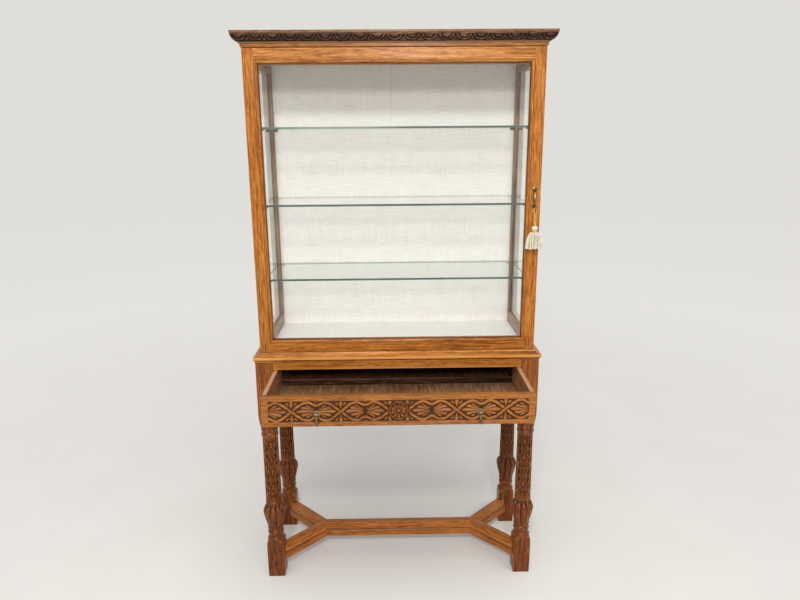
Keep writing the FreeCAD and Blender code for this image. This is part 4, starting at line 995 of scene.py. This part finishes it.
def make_tassel():
    """Tassel: a covered head, a wound neck and a skirt of twisted threads."""
    cream = silk("tassel_silk", (0.50, 0.44, 0.34, 1), (0.88, 0.82, 0.72, 1), 420.0, (0.50, 0.44, 0.20, 1))
    gold = silk("neck_silk", (0.45, 0.32, 0.06, 1), (0.80, 0.64, 0.22, 1), 800.0)
    rise = np.linspace(0.0, 1.0, 15)
    crown = np.clip((rise - 0.72) / 0.28, 0.0, 1.0)
    head_reach = 7.4 + 0.9 * np.sin(math.pi * rise) - 4.6 * crown ** 2
    head_line = np.stack([head_reach, HEAD_LOW + HEAD_TALL * rise], axis=-1)
    head = turned_threads("tassel_head", head_line, 160, lambda a, z: 0.25 * np.cos(a * 32.0 + z * 0.15), cream)
    neck_line = [(7.55, z) for z in np.linspace(NECK_LOW, HEAD_LOW, 57)]
    neck = turned_threads("tassel_neck", neck_line, 48, lambda a, z: 0.38 * np.cos(z * 2.0 * math.pi / 1.17 + a), gold)
    rng = np.random.default_rng(11)
    paths, radii, dyes = [], [], []
    count = 24
    fall = np.linspace(0.0, 1.0, count)
    flare = np.interp(fall, (0.0, 0.06, 0.14, 0.38, 0.72, 1.0), (0.0, 0.28, 0.46, 0.72, 0.92, 0.99))
    for layer, number in LAYERS:
        for n in range(number):
            angle = 2.0 * math.pi * (n + rng.uniform(-0.25, 0.25)) / number
            share = layer + rng.uniform(-0.05, 0.02)
            wide = SKIRT_ROOT + (SKIRT_WIDE * share - SKIRT_ROOT) * flare
            deep = SKIRT_ROOT + (SKIRT_DEEP * share - SKIRT_ROOT) * flare
            drop = SKIRT_TALL - rng.uniform(0.0, 3.5) - 3.0 * (1.0 - layer)
            sway = angle + rng.uniform(-0.08, 0.08) * fall
            paths.append(np.stack([KEY_X + wide * np.cos(sway), BOW_Y + deep * np.sin(sway),
                                   SKIRT_TOP - drop * fall ** 1.06], axis=-1))
            radii.append(0.6 + 0.62 * flare)
            dyes.append(rng.choice((0.0, 0.12, 0.45, 0.8), p=(0.5, 0.2, 0.2, 0.1)))
    for across, level in STRAYS:
        root = np.array([KEY_X + 8.0, BOW_Y - 5.0, 1173.0])
        end = np.array([KEY_X + across, BOW_Y - 7.0, level])
        bow = np.array([0.0, 0.0, 5.0]) * np.sin(np.pi * fall)[:, None]
        paths.append(root + (end - root) * fall[:, None] + bow)
        radii.append(np.full(count, 0.4))
        dyes.append(0.0)
    points, faces = tubes(paths, radii, 0.55)
    mesh = mesh_of("tassel_skirt", points, faces)
    keep_values(mesh, dye=np.repeat(dyes, count * THREAD_SIDES))
    skirt = settle("tassel_skirt", mesh, "tassel", cream, ("tassel",), 70)
    return [head, neck, skirt]


# Joints between the boards of the drawer's bottom, and half the gap in them
BOARD_JOINTS, BOARD_GAP = (-107.0, 150.0), 0.02


def floor_the_drawer():
    """Drawer bottom in three boards whose joints show."""
    low, high = (np.array(corner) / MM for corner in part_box("drawer_bottom"))
    joints = [low[0], *BOARD_JOINTS, high[0]]
    whole = bmesh.new()
    for start, end in zip(joints, joints[1:]):
        left, right = start + BOARD_GAP, end - BOARD_GAP
        middle = Vector(((left + right) / 2.0, (low[1] + high[1]) / 2.0, (low[2] + high[2]) / 2.0)) * MM
        size = Matrix.Diagonal(Vector((right - left, high[1] - low[1], high[2] - low[2], 1.0 / MM)) * MM)
        bmesh.ops.create_cube(whole, size=1.0, matrix=Matrix.Translation(middle) @ size)
    rough = bpy.data.meshes.new("drawer_boards_rough")
    whole.to_mesh(rough)
    whole.free()
    mesh = eased_mesh("drawer_boards", rough, 0.5)
    bpy.data.meshes.remove(rough)
    piece = settle("drawer_boards", mesh, "drawer", wood("plain_oak", "y", False, 5.0),
                   ("drawer_bottom",), 60)
    worn_normals(piece)


def dress_wood():
    """Every other wooden piece, with the grain that its joiner would give it."""
    lengthwise = ("centre_stretcher", "frieze_top_rail", "frieze_bottom_rail", "back_rail", "waist_moulding_front",
                  "waist_back_rail", "waist_dust_panel", "case_cross_rails", "case_floor", "case_top",
                  "door_top_rail", "door_bottom_rail", "drawer_back")
    backward = ("left_side_rail", "right_side_rail", "drawer_runners", "waist_moulding_returns", "case_side_rails",
                "drawer_sides")
    upright = ("front_left_post", "front_right_post", "rear_left_post", "rear_right_post", "side_glazing_beads",
               "back_panel", "door_left_stile", "door_right_stile", "door_glazing_beads")
    for along, nodes in (("x", lengthwise), ("y", backward), ("z", upright)):
        for n, node in enumerate(nodes):
            ease(node, along, float(n % 3), FINE_EASED if "bead" in node else EASED)
    ease("stretcher_arms", "arms")


def dress_rest():
    """Finish on the glass and the metal, whose CAD shapes are right."""
    finishes = {"window_glass": window_glass("window_glass"), "shelf_glass": shelf_glass("shelf_glass"),
                "brass": brass("aged_brass")}
    for node, slot in SLOT_OF.items():
        if slot in finishes:
            for place in NODES[node].material_slots:
                place.material = finishes[slot]


# Lamps of the room with their places, power and width, the soft light from above, and the room's light and look
LAMPS = {"ceiling_lamp": ((-0.25, -2.75, 2.85), 42.5, 0.28), "room_lamp": ((0.2, -3.3, 2.3), 32.0, 0.28)}
TOP_FROM, TOP_STRENGTH, TOP_ANGLE = Vector((0.3, -1.4, 4.0)), 1.2, math.radians(50.0)
LAMP_AIM, LAMP_COLOUR = Vector((0.0, 0.0, 1.2)), (1.0, 0.985, 0.95)
SKY, SKY_STRENGTH, BACKDROP = (1.0, 0.985, 0.96, 1), 0.47, (0.746, 0.732, 0.694, 1)
# Half the floor's width, its two tones and the tone it takes on far away
FLOOR_HALF = 40.0
FLOOR, FAR_FLOOR = ((0.75, 0.745, 0.73, 1), (0.78, 0.775, 0.76, 1)), (0.90, 0.895, 0.875, 1)


def hang_lamp(name, lamp, place):
    """Put a warm lamp somewhere and turn it to the case."""
    lamp.color = LAMP_COLOUR
    holder = put(name, lamp)
    holder.location = place
    holder.rotation_euler = (place - LAMP_AIM).to_track_quat("Z", "Y").to_euler()
    holder.visible_camera = False


@finish
def pale_floor(blank):
    """Dull floor that gets paler with distance."""
    here = blank.here()
    away = blank.add("VectorMath", {"operation": "LENGTH"}, {0: here}, "Value").step(0.8, 4.5)
    colour = away.tint(here.noise(3.0, 3.0).step(0.2, 0.8).tint(*FLOOR), FAR_FLOOR)
    return blank.add("BsdfPrincipled", {}, {"Base Color": colour, "Roughness": 0.95, "Specular IOR Level": 0.05})


def light_stage():
    """Pale floor, pale surroundings and soft light at a plain level."""
    corners = [(x * FLOOR_HALF, y * FLOOR_HALF, 0.0) for x, y in ((-1, -1), (1, -1), (1, 1), (-1, 1))]
    mesh = bpy.data.meshes.new("pale_floor")
    mesh.from_pydata(corners, [], [(0, 1, 2, 3)])
    ground = put("pale_floor", mesh)
    mesh.materials.append(pale_floor("pale_floor"))
    world = bpy.data.worlds.new("pale_room")
    bpy.context.scene.world = world
    world.use_nodes = True
    world.node_tree.nodes.clear()
    blank = Tap(world.node_tree)
    ray = blank.add("LightPath")
    seen = ray.side("Is Camera Ray").work("MAXIMUM", ray.side("Is Camera Ray"), ray.side("Is Glossy Ray"))
    seen = seen.work("MAXIMUM", seen, ray.side("Is Transmission Ray"))
    lit = blank.add("Background", {}, {"Color": SKY, "Strength": SKY_STRENGTH})
    backdrop = blank.add("Background", {}, {"Color": BACKDROP, "Strength": 1.0})
    blank.add("OutputWorld", {}, {"Surface": blank.add("MixShader", {}, {0: seen, 1: lit, 2: backdrop})})
    for name, (place, power, width) in LAMPS.items():
        lamp = bpy.data.lights.new(name, "AREA")
        lamp.energy = power
        lamp.size = width
        hang_lamp(name, lamp, Vector(place))
    lamp = bpy.data.lights.new("top_light", "SUN")
    lamp.energy = TOP_STRENGTH
    lamp.angle = TOP_ANGLE
    hang_lamp("top_light", lamp, LAMP_AIM + TOP_FROM)


bpy.context.scene.view_settings.view_transform = "Standard"
add_camera()
hang_cord(make_tassel())
light_stage()
dress_rest()
line_with_linen()
carve_drawer()
floor_the_drawer()
carve_cornice()
for side, x in (("left", -LEG_X), ("right", LEG_X)):
    turn = LEG_TURNS[side]
    carve_leg("front_%s_leg" % side, x, LEG_FRONT, turn)
    carve_leg("rear_%s_leg" % side, x, LEG_REAR, turn)
dress_wood()
